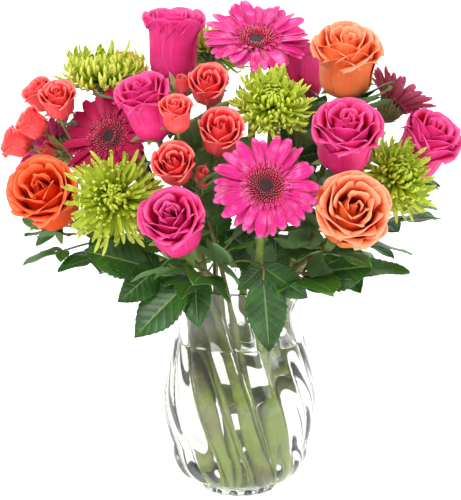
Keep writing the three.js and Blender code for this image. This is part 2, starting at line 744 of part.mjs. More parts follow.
function addPiece(name, geometry, finish) {
  const mesh = new THREE.Mesh(geometry, finish);
  mesh.name = name;
  bouquet.add(mesh);
  return mesh;
}

const glass = material("#dfe8e2", 0.05, { transparent: true, opacity: 0.35 });
const water = material("#e9f3ee", 0.02, { transparent: true, opacity: 0.25 });
const green = material(COLOURS.stem, 0.55);
const leafGreen = material(COLOURS.leaf, 0.5);

const vase = addPiece("vase", vaseGeometry(), glass);
const vaseSolid = solidOf(vase.geometry);

const blooms = Object.entries({ ...BLOOMS, ...BUDS }).map(placeBloom);
settleBlooms(blooms, [vaseSolid]);
const bloomNamed = (name) => blooms.find((b) => b.name === name);

const inSpray = Object.values(SPRAYS).flatMap((s) => s.carries);
const single = blooms.filter((b) => !inSpray.includes(b.name));
const stems = [];
for (const bloom of single) {
  const towards = direction(bloom.spec.faces);
  const top = bloom.foot.clone().addScaledVector(towards, -GAP);
  const radius = KINDS[bloom.spec.kind].stem;
  stems.push({ ...startStem(bloom.name, top, towards, radius, stems.length), owns: [bloom.name] });
}
for (const [name, spray] of Object.entries(SPRAYS)) {
  const fork = aboveRim(spray.fork);
  const towards = fork.clone().sub(new THREE.Vector3(0, 0, 0.6 * VASE.height)).normalize();
  stems.push({ ...startStem(name, fork, towards, SPRAY_STEM, stems.length), owns: spray.carries });
}
routeStems(stems, blooms);

// A twig from a spray's fork to a bloom or bud, bent round whatever stands in its way.
function twig(from, to, towards, obstacles) {
  const lead = to.clone().addScaledVector(towards, -TWIG_LEAD);
  const bends = [from.clone().lerp(lead, 0.33), from.clone().lerp(lead, 0.67)];
  for (let round = 0; round < 80; round++) {
    const points = [from, ...bends, lead, to];
    const test = solidOf(bar(points, KINDS.spray.stem + MARGIN, 5, 5));
    const push = new THREE.Vector3();
    for (const obstacle of obstacles) {
      const box = shared(test, obstacle);
      if (!box) continue;
      push.add(middleOf(box).sub(centreOf(obstacle)).normalize());
    }
    test.delete();
    if (push.length() < 1e-6) return solidOf(bar(points, KINDS.spray.stem, 5, 5));
    for (const bend of bends) bend.addScaledVector(push.normalize(), 1.5);
  }
  throw new Error("a twig found no way to its bloom");
}

// A spray's main stem with its twigs and buds.
function spraySolid(stem, spray, obstacles) {
  const fork = stem.fixed.at(-1);
  const start = stem.fixed[0].clone().lerp(fork, 0.7);
  let solid = stemSolid(stem);
  for (const name of spray.carries) {
    const bloom = bloomNamed(name);
    const towards = direction(bloom.spec.faces);
    const isBud = bloom.spec.kind === "bud";
    const end = bloom.foot.clone().addScaledVector(towards, isBud ? 2 : -GAP);
    solid = solid.add(twig(start, end, towards, obstacles.filter((o) => o !== bloom.test)));
    if (isBud) solid = solid.add(solidOf(bloomGeometry(bloom.spec), poseOf(bloom.foot, bloom.turn)));
  }
  return solid.simplify(FINE);
}

for (const bloom of blooms) {
  if (bloom.spec.kind === "bud") continue;
  const finish = material(COLOURS[bloom.spec.colour], 0.6);
  const mesh = addPiece(bloom.name + "_bloom", bloomGeometry(bloom.spec), finish);
  mesh.position.copy(bloom.foot);
  mesh.quaternion.copy(bloom.turn);
}

const stemSolids = new Map();
const bloomTests = blooms.map((b) => b.test);
for (const stem of stems) {
  const spray = SPRAYS[stem.name];
  const rivals = stems.filter((s) => s !== stem).map((s) => stemSolids.get(s.name) ?? stemSolid(s, 0.2));
  const solid = spray ? spraySolid(stem, spray, [...bloomTests, ...rivals]) : stemSolid(stem);
  stemSolids.set(stem.name, solid);
  addPiece(stem.name + "_stem", geometryOf(solid), green);
}

const leafyStems = stems.filter((stem) => !stem.name.startsWith("gerbera") && !stem.name.startsWith("mum"));
const stemTests = stems.map((s) => (SPRAYS[s.name] ? stemSolids.get(s.name) : stemSolid(s, 0.3)));
const taken = [vaseSolid, ...bloomTests, ...stemTests];
for (const entry of Object.entries(LEAVES)) {
  const leaf = placeLeaf(entry, leafyStems, taken);
  taken.push(leaf.solid);
  addPiece(leaf.name, geometryOf(leaf.solid), leafGreen);
}

let waterSolid = solidOf(waterGeometry());
for (const stem of stems) waterSolid = waterSolid.subtract(stemSolid(stem, GAP));
const pools = waterSolid.decompose().sort((a, b) => b.volume() - a.volume());
addPiece("water", geometryOf(pools[0].simplify(FINE)), water);

export default bouquet;
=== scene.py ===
"""A bouquet of gerberas, roses and spider chrysanthemums in a swirled glass vase, built round its frame."""

import math
import zlib

import bpy
import numpy as np
from bpy.props import FloatProperty, FloatVectorProperty, IntProperty, PointerProperty
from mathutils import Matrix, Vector
from mathutils.bvhtree import BVHTree


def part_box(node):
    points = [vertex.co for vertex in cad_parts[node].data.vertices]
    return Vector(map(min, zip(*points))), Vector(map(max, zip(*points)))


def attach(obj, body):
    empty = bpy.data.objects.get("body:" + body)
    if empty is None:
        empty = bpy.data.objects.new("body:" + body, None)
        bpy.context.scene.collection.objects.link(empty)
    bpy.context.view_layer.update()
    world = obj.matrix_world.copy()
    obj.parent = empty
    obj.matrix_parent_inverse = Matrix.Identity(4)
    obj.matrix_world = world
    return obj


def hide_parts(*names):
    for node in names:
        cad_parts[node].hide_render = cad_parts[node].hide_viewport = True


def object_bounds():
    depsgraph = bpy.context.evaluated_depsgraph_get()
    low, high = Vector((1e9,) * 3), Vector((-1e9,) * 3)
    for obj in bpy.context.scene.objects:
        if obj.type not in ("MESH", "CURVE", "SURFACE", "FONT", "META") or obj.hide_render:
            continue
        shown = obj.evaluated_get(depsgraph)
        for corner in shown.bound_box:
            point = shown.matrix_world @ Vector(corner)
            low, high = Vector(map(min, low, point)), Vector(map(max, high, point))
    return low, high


bl_info = {
    "name": "Bouquet in a glass vase",
    "version": (1, 0, 0),
    "blender": (4, 5, 0),
    "location": "View3D > Sidebar > Bouquet",
    "description": "Builds cut flowers, leaves, water and a fluted vase round a fixed frame",
    "category": "Object",
}

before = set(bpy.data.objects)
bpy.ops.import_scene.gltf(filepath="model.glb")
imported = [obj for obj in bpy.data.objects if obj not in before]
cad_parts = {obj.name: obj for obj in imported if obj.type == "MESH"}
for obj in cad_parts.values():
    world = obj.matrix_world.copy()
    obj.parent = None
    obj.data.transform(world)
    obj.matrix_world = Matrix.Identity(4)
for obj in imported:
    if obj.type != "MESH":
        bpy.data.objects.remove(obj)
cad_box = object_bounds()

GOLDEN_ANGLE = math.pi * (3 - math.sqrt(5))
UP = np.array([0.0, 0.0, 1.0])
BODY = "root"
PLACE = "place"  # vertex values: along, across, back or front, and a chance number for each petal
LEAF_VEINS = 8.0  # side veins along a leaflet, in its shape and in its finish


# ---------------------------------------------------------------- numbers and vectors


def unit(vectors):
    """Vectors of length one."""
    length = np.linalg.norm(vectors, axis=-1, keepdims=True)
    return vectors / np.maximum(length, 1e-12)


def basis(axis):
    """Columns x, y and z of a frame whose z is the axis and whose x is level."""
    z = unit(np.asarray(axis, float))
    level = np.cross(UP, z)
    if np.linalg.norm(level) < 1e-3:
        level = np.array([1.0, 0.0, 0.0])
    x = unit(level)
    return np.stack([x, np.cross(z, x), z], axis=1)


def ease(values, low, high):
    """A smooth rise from 0 at low to 1 at high."""
    share = np.clip((values - low) / (high - low), 0, 1)
    return share * share * (3 - 2 * share)


def mix(a, b, share):
    """The value a share of the way from a to b."""
    return a + (b - a) * share


def seeded(name):
    """Random numbers that are the same on every run for the same name."""
    return np.random.default_rng(zlib.crc32(name.encode()))


def running_sum(steps, axis):
    """Sums from zero, with half of each neighbouring pair taken at every step."""
    count = steps.shape[axis]
    pairs = 0.5 * (np.take(steps, range(1, count), axis) + np.take(steps, range(count - 1), axis))
    start = np.zeros_like(np.take(steps, [0], axis))
    return np.concatenate([start, np.cumsum(pairs, axis)], axis)


def smooth_path(points, spacing):
    """A smooth curve through the points, with a point about every spacing."""
    padded = np.concatenate([2 * points[:1] - points[1:2], points, 2 * points[-1:] - points[-2:-1]])
    runs = []
    for a, b, c, d in zip(padded, padded[1:], padded[2:], padded[3:]):
        count = max(2, int(np.linalg.norm(c - b) / spacing))
        t = np.linspace(0, 1, count, endpoint=False)[:, None]
        square = (2 * a - 5 * b + 4 * c - d) * t**2
        cube = (3 * b - a - 3 * c + d) * t**3
        runs.append(0.5 * (2 * b + (c - a) * t + square + cube))
    return np.concatenate([*runs, points[-1:]])


def around(turn):
    """Level vectors of length one at the given angles."""
    return np.stack([np.cos(turn), np.sin(turn), np.zeros_like(turn)], axis=-1)


def path_length(path):
    """Distance along a path at each of its points."""
    return np.concatenate([[0], np.cumsum(np.linalg.norm(np.diff(path, axis=0), axis=1))])


# ---------------------------------------------------------------- reading the frame


def read(collection, field, width):
    """A field of every item of a mesh collection as rows of numbers."""
    flat = np.empty(len(collection) * width)
    collection.foreach_get(field, flat)
    return flat.reshape(-1, width)


class Solid:
    """A node's welded points, its triangles, and which points share an edge."""

    def __init__(self, node):
        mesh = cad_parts[node].data
        self.points, place = np.unique(np.round(read(mesh.vertices, "co", 3), 6), axis=0, return_inverse=True)
        mesh.calc_loop_triangles()
        corners = read(mesh.loop_triangles, "vertices", 3).astype(int)
        self.triangles = place.reshape(-1)[corners]
        self.joined = [set() for _ in self.points]
        for a, b, c in self.triangles:
            self.joined[a] |= {b, c}
            self.joined[b] |= {a, c}
            self.joined[c] |= {a, b}

    def edges_at(self):
        """How many edges meet at each point."""
        return np.array([len(around) for around in self.joined])

    def layers(self, seeds):
        """Rings of points, each one edge further from the seeds."""
        rings = [set(seeds)]
        seen = set(seeds)
        while rings[-1]:
            ahead = set().union(*[self.joined[i] for i in rings[-1]]) - seen
            rings.append(ahead)
            seen |= ahead
        return [self.points[sorted(ring)] for ring in rings if ring]


def search_tree(solid):
    """A tree that finds the triangles of a node near a place or along a line."""
    return BVHTree.FromPolygons([Vector(point) for point in solid.points], solid.triangles.tolist())


SOLIDS = {name: Solid(name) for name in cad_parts}
BLOOM_NAMES = sorted(name[: -len("_bloom")] for name in SOLIDS if name.endswith("_bloom"))
STEM_NAMES = sorted(name for name in SOLIDS if name.endswith("_stem"))
STEM_POINTS = np.concatenate([SOLIDS[name].points for name in STEM_NAMES])


def stem_of(bloom):
    """The node name of the stem that carries a bloom."""
    own = bloom + "_stem"
    return own if own in SOLIDS else bloom.rsplit("_", 1)[0] + "_stem"


class Bloom:
    """Where a bloom sits and how large it is, measured from its node."""

    def __init__(self, name):
        self.name = name
        self.node = name + "_bloom"
        solid = SOLIDS[self.node]
        poles = solid.points[np.argsort(-solid.edges_at(), kind="stable")[:2]]
        stem = SOLIDS[stem_of(name)].points
        gaps = [np.linalg.norm(stem - pole, axis=1).min() for pole in poles]
        self.foot, top = poles if gaps[0] < gaps[1] else poles[::-1]
        self.axis = unit(top - self.foot)
        self.depth = np.linalg.norm(top - self.foot)
        offsets = solid.points - self.foot
        rise = offsets @ self.axis
        out = np.linalg.norm(offsets - rise[:, None] * self.axis, axis=1)
        self.radius = out.max()
        self.rim = rise[out.argmax()]
        self.frame = basis(self.axis)
        self.rng = seeded(name)

    def put(self, local):
        """Points of the bloom's own frame in the bouquet's frame."""
        return self.foot + local @ self.frame.T


def stem_path(bloom):
    """Points down the middle of a bloom's own stem, from the bloom to the foot, and its radius."""
    solid = SOLIDS[bloom.name + "_stem"]
    nearest = np.argsort(np.linalg.norm(solid.points - bloom.foot, axis=1))[:6]
    rings = solid.layers(nearest.tolist())
    centres = np.array([ring.mean(0) for ring in rings])
    radius = np.linalg.norm(rings[1] - centres[1], axis=1).mean()
    return np.concatenate([[bloom.foot], centres]), radius


# ---------------------------------------------------------------- bodies made of rings and sheets

SMOOTH = (0.0, 1)  # no ribs


class Batch:
    """The points, faces and vertex values of one piece, gathered from many small bodies."""

    def __init__(self):
        self.points = []
        self.faces = []
        self.values = []
        self.count = 0

    def add(self, points, faces, values):
        """Adds bodies of equal build: points [body, n, xyz], one body's faces, values [body, n, 4]."""
        bodies, size, _ = points.shape
        starts = self.count + size * np.arange(bodies)
        for kind in faces:
            self.faces.append((kind[None] + starts[:, None, None]).reshape(-1, kind.shape[1]))
        self.points.append(points.reshape(-1, 3))
        self.values.append(np.broadcast_to(values, (bodies, size, 4)).reshape(-1, 4))
        self.count += bodies * size

    def mesh(self, name):
        """The gathered bodies as one smooth mesh."""
        mesh = bpy.data.meshes.new(name)
        points = np.concatenate(self.points)
        corners = np.concatenate([faces.ravel() for faces in self.faces])
        sizes = np.concatenate([np.full(len(faces), faces.shape[1]) for faces in self.faces])
        mesh.vertices.add(len(points))
        mesh.vertices.foreach_set("co", points.ravel())
        mesh.loops.add(len(corners))
        mesh.loops.foreach_set("vertex_index", corners.astype(np.int32))
        mesh.polygons.add(len(sizes))
        mesh.polygons.foreach_set("loop_start", np.concatenate([[0], np.cumsum(sizes)[:-1]]).astype(np.int32))
        mesh.polygons.foreach_set("use_smooth", np.ones(len(sizes), bool))
        mesh.update(calc_edges=True)
        place = mesh.attributes.new(PLACE, "FLOAT_COLOR", "POINT")
        place.data.foreach_set("color", np.concatenate(self.values).astype(np.float32).ravel())
        mesh.validate()
        return mesh


def spread_values(along, across, side, chance, shape):
    """The four vertex values at every point of a set of bodies."""
    values = [np.broadcast_to(value, shape) for value in (along, across, side, chance)]
    return np.stack(values, axis=-1)


def add_sheets(batch, grid, thickness, along, across, chance):
    """Thin closed sheets from grids of points [sheet, row, column, xyz], thinner towards their edges."""
    sheets, rows, columns, _ = grid.shape
    normal = unit(np.cross(np.gradient(grid, axis=2), np.gradient(grid, axis=1)))
    u = np.linspace(-1, 1, columns)
    v = np.linspace(0, 1, rows)
    body = np.sqrt((1 - 0.92 * u[None] ** 4) * (1 - 0.92 * v[:, None] ** 8))
    half = 0.5 * thickness * body[None, :, :, None] * normal
    points = np.stack([grid + half, grid - half], axis=1)
    index = np.arange(rows * columns).reshape(rows, columns)
    front = np.stack([index[:-1, :-1], index[:-1, 1:], index[1:, 1:], index[1:, :-1]], axis=-1).reshape(-1, 4)
    far = rows * columns
    loop = np.concatenate([index[0, :-1], index[:-1, -1], index[-1, :0:-1], index[:0:-1, 0]])
    ahead = np.roll(loop, -1)
    rim = np.stack([loop, loop + far, ahead + far, ahead], axis=-1)
    faces = np.concatenate([front, front[:, ::-1] + far, rim])
    shape = (sheets, 2, rows, columns)
    side = np.array([0.0, 1.0])[None, :, None, None]
    values = spread_values(along, across, side, chance, shape)
    batch.add(points.reshape(sheets, -1, 3), [faces], values.reshape(sheets, -1, 4))


def add_rings(batch, rings, along, chance):
    """Closed bodies over stacks of rings [body, ring, corner, xyz], capped at both ends."""
    bodies, rows, corners, _ = rings.shape
    index = np.arange(rows * corners).reshape(rows, corners)
    ahead = np.roll(index, -1, axis=1)
    walls = np.stack([index[:-1], ahead[:-1], ahead[1:], index[1:]], axis=-1).reshape(-1, 4)
    caps = np.stack([index[0, ::-1], index[-1]])
    across = np.linspace(0, 1, corners, endpoint=False)[None, None]
    values = spread_values(along, across, 0.0, chance, (bodies, rows, corners))
    batch.add(rings.reshape(bodies, -1, 3), [walls, caps], values.reshape(bodies, -1, 4))


def ribbed(angle, ribs):
    """How far out a ribbed skin stands at each angle: ribs are a depth against the radius and a count."""
    depth, count = ribs
    return 1 + depth * np.cos(count * angle)


def add_tubes(batch, paths, radii, sides, chance, flat=1.0, ribs=SMOOTH):
    """Closed tubes round paths [tube, point, xyz]; radii [tube, point]; flat squeezes them one way."""
    along = unit(np.gradient(paths, axis=1))
    lean = np.where(np.abs(along[..., :1]) < 0.9, [1.0, 0.0, 0.0], [0.0, 1.0, 0.0])
    side = unit(np.cross(along, lean))
    other = np.cross(along, side)
    angle = 2 * math.pi * np.arange(sides) / sides
    size = radii[..., None] * ribbed(angle, ribs)
    across = (np.cos(angle) * size)[..., None] * side[:, :, None]
    up = (flat * np.sin(angle) * size)[..., None] * other[:, :, None]
    share = np.linspace(0, 1, paths.shape[1])[None, :, None]
    add_rings(batch, paths[:, :, None] + across + up, share, chance)


def add_turned(batch, bloom, profile, sides, chance, ribs=SMOOTH):
    """A body turned about a bloom's axis from rows of (radius, height)."""
    angle = 2 * math.pi * np.arange(sides) / sides
    radius = profile[:, :1] * ribbed(angle, ribs)
    height = np.broadcast_to(profile[:, 1:], radius.shape)
    rings = np.stack([radius * np.cos(angle), radius * np.sin(angle), height], axis=-1)
    share = np.linspace(0, 1, len(profile))[None, :, None]
    add_rings(batch, bloom.put(rings)[None], share, chance)


def add_piece(name, data, finish, node):
    """Puts a mesh in the scene as a piece that rides on the bouquet and stands for a node."""
    mesh = data.mesh(name) if isinstance(data, Batch) else data
    piece = bpy.data.objects.new(name, mesh)
    bpy.context.scene.collection.objects.link(piece)
    mesh.materials.clear()
    mesh.materials.append(finish)
    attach(piece, BODY)
    if node:
        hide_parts(node)
    return piece


# ---------------------------------------------------------------- finishes


def paint(code):
    """A linear colour from a web colour code."""
    parts = [int(code[i : i + 2], 16) / 255 for i in (1, 3, 5)]
    linear = [c / 12.92 if c <= 0.04045 else ((c + 0.055) / 1.055) ** 2.4 for c in parts]
    return (*linear, 1.0)


def join(tree, value, socket):
    """Links a node's output to a socket, or sets the socket to a plain value."""
    if isinstance(value, Signal):
        tree.links.new(value.socket, socket)
    else:
        socket.default_value = value


class Signal:
    """A node's output, which can be used in sums."""

    def __init__(self, socket):
        self.socket = socket

    def sum(self, operation, *values):
        """A Math node of the given values."""
        tree = self.socket.id_data
        node = tree.nodes.new("ShaderNodeMath")
        node.operation = operation
        for value, socket in zip(values, node.inputs):
            join(tree, value, socket)
        return Signal(node.outputs[0])

    def __add__(self, other):
        return self.sum("ADD", self, other)

    def __radd__(self, other):
        return self.sum("ADD", other, self)

    def __sub__(self, other):
        return self.sum("SUBTRACT", self, other)

    def __rsub__(self, other):
        return self.sum("SUBTRACT", other, self)

    def __mul__(self, other):
        return self.sum("MULTIPLY", self, other)

    def __rmul__(self, other):
        return self.sum("MULTIPLY", other, self)

    def __mod__(self, other):
        return self.sum("MODULO", self, other)

    def __abs__(self):
        return self.sum("ABSOLUTE", self)


class Finish:
    """A material in the making."""

    def __init__(self, name):
        self.material = bpy.data.materials.new(name)
        self.material.use_nodes = True
        self.tree = self.material.node_tree
        self.tree.nodes.clear()

    def node(self, kind, settings=None, sockets=None, output=0):
        """Adds a node: its settings first, then the values or links of its sockets."""
        node = self.tree.nodes.new(kind)
        for key, value in (settings or {}).items():
            setattr(node, key, value)
        for key, value in (sockets or {}).items():
            join(self.tree, value, node.inputs[key])
        return Signal(node.outputs[output]) if node.outputs else node

    def place(self):
        """The vertex values: along, across, back and chance."""
        colour = self.node("ShaderNodeAttribute", {"attribute_name": PLACE})
        parts = [self.node("ShaderNodeSeparateColor", None, {0: colour}, i) for i in range(3)]
        chance = self.node("ShaderNodeAttribute", {"attribute_name": PLACE}, None, 3)
        return (*parts, chance)

    def blend(self, share, first, second, kind="MIX"):
        """A mix of two colours."""
        settings = {"data_type": "RGBA", "blend_type": kind}
        return self.node("ShaderNodeMix", settings, {0: share, 6: first, 7: second}, 2)

    def rise(self, value, low, high, start=0.0, end=1.0):
        """A smooth change from start to end as value goes from low to high."""
        settings = {"interpolation_type": "SMOOTHSTEP"}
        return self.node("ShaderNodeMapRange", settings, {0: value, 1: low, 2: high, 3: start, 4: end})

    def point(self, x, y, z):
        """A vector from three values."""
        return self.node("ShaderNodeCombineXYZ", None, {0: x, 1: y, 2: z})

    def noise(self, where, scale, detail=2.0, rough=0.5):
        """Noise between 0 and 1 at a place."""
        sockets = {"Vector": where, "Scale": scale, "Detail": detail, "Roughness": rough}
        return self.node("ShaderNodeTexNoise", None, sockets)

    def here(self):
        """The place on the piece, in metres."""
        return self.node("ShaderNodeTexCoord", None, None, 3)

    def bump(self, height, strength, distance):
        """A normal tilted by the slope of a height."""
        sockets = {"Height": height, "Strength": strength, "Distance": distance}
        return self.node("ShaderNodeBump", None, sockets)

    def surface(self, sockets):
        """The principled shader with the given sockets."""
        return self.node("ShaderNodeBsdfPrincipled", None, sockets)

    def done(self, shader):
        """Joins the shader to the output and gives the material."""
        self.node("ShaderNodeOutputMaterial", None, {"Surface": shader})
        return self.material


def hues(key, *parts):
    """Colours from the settings, by what they belong to and the part of it."""
    settings = bpy.context.scene.bouquet_colours
    return [tuple(getattr(settings, f"{key}_{part}")) for part in parts]


def petal_hues(key):
    """The four colours of a petal."""
    return hues(key, "deep", "body", "lip", "back")


def green_hues(key):
    """The three colours of a green skin."""
    return hues(key, "body", "shade", "light")


def petal_finish(name, paints, base_reach=0.4, painted_groove_shade=0.0, painted_highlight=0.35):
    """Living petal tissue: a deep base, a thin pale lip, fine veins running its length, a soft sheen, pale
    patches of painted highlight and, where asked, painted shade in the grooves and along the edges.
    """
    deep, body, lip, back = paints
    make = Finish(name)
    along, across, behind, chance = make.place()
    edge = abs(across * 2.0 - 1.0)
    fibres = make.point(along * 3.0, across * 42.0 + chance * 61.0, chance * 97.0)
    streaks = make.noise(fibres, 1.0, 3.0, 0.6)
    veins = make.noise(make.point(along * 1.2, across * 15.0, chance * 37.0), 1.0, 2.0)
    clouds = make.noise(make.here(), 95.0, 3.0)
    colour = make.blend(make.rise(along + (clouds - 0.5) * 0.2, 0.02, base_reach), deep, body)
    rim = make.rise(along + (clouds - 0.5) * 0.1, 0.86, 1.0) * 0.6 + make.rise(edge, 0.86, 1.0) * 0.3
    colour = make.blend(rim, colour, lip)
    # painted highlight: pale patches of the lip colour laid at random where the noise is high
    colour = make.blend(make.rise(clouds, 0.45, 0.75) * painted_highlight, colour, lip)
    colour = make.blend(behind * (0.2 + along * 0.5), colour, back)
    colour = make.blend(make.rise(streaks, 0.45, 0.75) * 0.35, colour, deep)
    colour = make.blend(make.rise(veins, 0.5, 0.8) * 0.25, colour, lip)
    if painted_groove_shade:
        # painted shade: the deep colour laid in thin lines along the petal's grooves, and darkening towards
        # its side edges
        lines = abs((across * 4.45 + 0.28) % 1.0 - 0.5)
        line = (1.0 - make.rise(lines, 0.0, 0.2)) * make.rise(along, 0.1, 0.5) * painted_groove_shade
        colour = make.blend(line, colour, deep)
        colour = make.blend(make.rise(edge, 0.5, 1.0) * painted_groove_shade * 0.6, colour, deep)
    relief = make.bump(streaks * 0.6 + veins * 0.4 + clouds * 0.3, 0.4, 0.0006)
    shader = make.surface({
        "Base Color": colour,
        "Roughness": 0.5 + (streaks - 0.5) * 0.25,
        "Normal": relief,
        "Specular IOR Level": 0.3,
        "Subsurface Weight": 0.12,
        "Subsurface Radius": (0.003, 0.001, 0.001),
        "Subsurface Scale": 0.5,
    })
    return make.done(shader)


def green_finish(name, paints, rough=0.45):
    """Green stems and cups: long fibres, a mottled skin, and a paler bloom on the raised parts."""
    body, shade, light = paints
    make = Finish(name)
    along, across, _behind, chance = make.place()
    here = make.here()
    mottle = make.noise(here, 160.0, 4.0, 0.6)
    patches = make.noise(here, 28.0, 2.0)
    fibres = make.noise(make.point(across * 36.0, along * 30.0, chance * 41.0), 1.0, 3.0)
    colour = make.blend(make.rise(patches, 0.35, 0.7), body, shade)
    colour = make.blend(make.rise(mottle, 0.45, 0.75) * 0.35, colour, light)
    colour = make.blend(make.rise(fibres, 0.5, 0.8) * 0.35, colour, light)
    relief = make.bump(fibres * 0.6 + mottle * 0.4, 0.45, 0.0005)
    shader = make.surface({
        "Base Color": colour,
        "Roughness": rough + (mottle - 0.5) * 0.3,
        "Normal": relief,
        "Subsurface Weight": 0.08,
        "Subsurface Radius": (0.002, 0.003, 0.001),
        "Subsurface Scale": 0.5,
    })
    return make.done(shader)


def leaf_finish():
    """Leaf blades: dark waxy upper side with pale veins, matt paler underside."""
    dark, blade, young, vein, underside = hues("leaf", "dark", "blade", "young", "vein", "underside")
    make = Finish("rose leaf")
    along, across, behind, chance = make.place()
    edge = abs(across * 2.0 - 1.0)
    slant = (along - edge * 0.2) * LEAF_VEINS
    side_vein = 1.0 - make.rise(abs(slant % 1.0 - 0.5), 0.0, 0.14)
    midrib = 1.0 - make.rise(edge, 0.015, 0.07)
    network = make.noise(make.here(), 420.0, 3.0, 0.7)
    patches = make.noise(make.here(), 55.0, 3.0)
    colour = make.blend(make.rise(patches, 0.3, 0.75), dark, blade)
    colour = make.blend(make.rise(chance, 0.0, 1.0) * 0.5, colour, young)
    colour = make.blend(make.rise(network, 0.5, 0.7) * 0.12, colour, vein)
    colour = make.blend(behind * 0.8, colour, underside)
    colour = make.blend(side_vein * 0.1, colour, vein)
    colour = make.blend(midrib * 0.6, colour, vein)
    relief = make.bump(network * 0.5 - side_vein * 0.5 - midrib * 0.6, 0.5, 0.0006)
    shader = make.surface({
        "Base Color": colour,
        "Roughness": 0.36 + network * 0.12 + behind * 0.25,
        "Normal": relief,
        "Coat Weight": 0.06 - behind * 0.06,
        "Coat Roughness": 0.3,
        "Subsurface Weight": 0.08,
        "Subsurface Radius": (0.001, 0.003, 0.001),
        "Subsurface Scale": 0.5,
    })
    return make.done(shader)


def eye_finish():
    """The florets of a gerbera's eye: near black in the middle, crimson with pale tips round it."""
    black, brown, crimson, pink, tip, shade = hues("eye", "black", "brown", "crimson", "pink", "tip", "shade")
    make = Finish("gerbera eye")
    along, _across, _behind, share = make.place()
    grain = make.noise(make.here(), 900.0, 2.0)
    colour = make.blend(make.rise(share, 0.06, 0.2), black, brown)
    colour = make.blend(make.rise(share, 0.3, 0.42), colour, crimson)
    colour = make.blend(make.rise(share, 0.8, 0.97) * 0.5, colour, pink)
    colour = make.blend(make.rise(along, 0.6, 0.95) * make.rise(share, 0.3, 0.5) * 0.85, colour, tip)
    colour = make.blend(grain * 0.15, colour, shade)
    shader = make.surface({
        "Base Color": colour,
        "Roughness": 0.55 + grain * 0.2,
        "Normal": make.bump(grain, 0.3, 0.0003),
        "Subsurface Weight": 0.05,
        "Subsurface Radius": (0.002, 0.001, 0.001),
    })
    return make.done(shader)


def mum_finish():
    """Lime florets: dark green low in the middle, yellow-green tips."""
    low, lime, tip, middle, streak, back = hues("mum", "low", "lime", "tip", "middle", "streak", "back")
    make = Finish("lime floret")
    along, across, behind, share = make.place()
    fibres = make.noise(make.point(along * 4.0, across * 9.0, share * 331.0), 1.0, 3.0)
    clouds = make.noise(make.here(), 120.0, 2.0)
    reach = along * (0.55 + share * 0.6)
    colour = make.blend(make.rise(reach, 0.02, 0.42), low, lime)
    colour = make.blend(make.rise(reach, 0.4, 1.0), colour, tip)
    colour = make.blend(make.rise(share, 0.0, 0.16, 0.75, 0.0), colour, middle)
    colour = make.blend(make.rise(fibres, 0.45, 0.8) * 0.4, colour, streak)
    colour = make.blend(behind * 0.35, colour, back)
    shader = make.surface({
        "Base Color": colour,
        "Roughness": 0.45 + clouds * 0.2,
        "Normal": make.bump(fibres, 0.35, 0.0004),
        "Subsurface Weight": 0.15,
        "Subsurface Radius": (0.002, 0.003, 0.0008),
        "Subsurface Scale": 0.6,
    })
    return make.done(shader)


def clear_finish(name, tint, ior, ripples, shadow):
    """Clear glass or water with ripples of a scale and strength, whose shadows stay light."""
    make = Finish(name)
    scale, strength = ripples
    shader = make.surface({
        "Base Color": tint,
        "Roughness": 0.0,
        "IOR": ior,
        "Transmission Weight": 1.0,
        "Normal": make.bump(make.noise(make.here(), scale, 2.0), strength, 0.002),
    })
    through = make.node("ShaderNodeBsdfTransparent", None, {"Color": shadow})
    in_shadow = make.node("ShaderNodeLightPath", None, None, 1)
    return make.done(make.node("ShaderNodeMixShader", None, {0: in_shadow, 1: shader, 2: through}))


def paper_finish(colour, glow):
    """Matt studio paper that gives off a little light of its own."""
    make = Finish("paper")
    grain = make.noise(make.here(), 700.0, 2.0)
    shader = make.surface({
        "Base Color": colour,
        "Roughness": 0.9,
        "Normal": make.bump(grain, 0.05, 0.0005),
        "Emission Color": colour,
        "Emission Strength": glow,
    })
    return make.done(shader)


# ---------------------------------------------------------------- the vase and its water

THICK_BASE = 0.006  # how much thicker the wall is at the foot
THICK_LEVELS = (0.009, 0.04)  # heights between which the extra thickness fades out
FLOOR_EDGE = 0.002  # height of the inside corner above the floor
DISH_DEPTH = 0.0036  # how far the floor sinks towards the middle
FLOOR_DISH = ((0.94, 0.0012), (0.8, 0.003), (0.45, DISH_DEPTH), (0.03, DISH_DEPTH))  # share, drop
UNDERSIDE = ((0.03, 0.0022), (0.5, 0.0022), (0.78, 0.0016), (0.88, 0.0001), (0.97, 0.0))  # share, rise
CREST_BAND = 0.0004  # points this near the largest radius lie on a flute's crest
WATER_SINK = 0.0006  # how far the water reaches into the glass, so that no air shows between them


def vase_levels():
    """Heights of the vase's outside, its largest and smallest radius there, and the turn of its flutes."""
    points = SOLIDS["vase"].points
    radius = np.hypot(points[:, 0], points[:, 1])
    height = np.round(points[:, 2], 5)
    rows = []
    turn = None
    for level in np.unique(height):
        at = np.flatnonzero((height == level) & (radius > 0.9 * radius[height == level].max()))
        if len(at) < 24:
            continue
        crests = at[radius[at] > radius[at].max() - CREST_BAND]
        angles = np.arctan2(points[crests, 1], points[crests, 0])
        if turn is None:
            turn = angles[0]
        else:
            shifts = (angles - turn + math.pi) % (2 * math.pi) - math.pi
            turn += shifts[np.abs(shifts).argmin()]
        rows.append((level, radius[at].max(), radius[at].min(), turn))
    return np.array(rows)


def smooth_profile(rows, count):
    """The vase's levels as a smooth curve of many rows."""
    dense = smooth_path(rows, 0.0005)
    heights = np.linspace(rows[0, 0], rows[-1, 0], count)
    columns = [np.interp(heights, dense[:, 0], dense[:, i]) for i in range(1, rows.shape[1])]
    return np.stack([heights, *columns], axis=1)


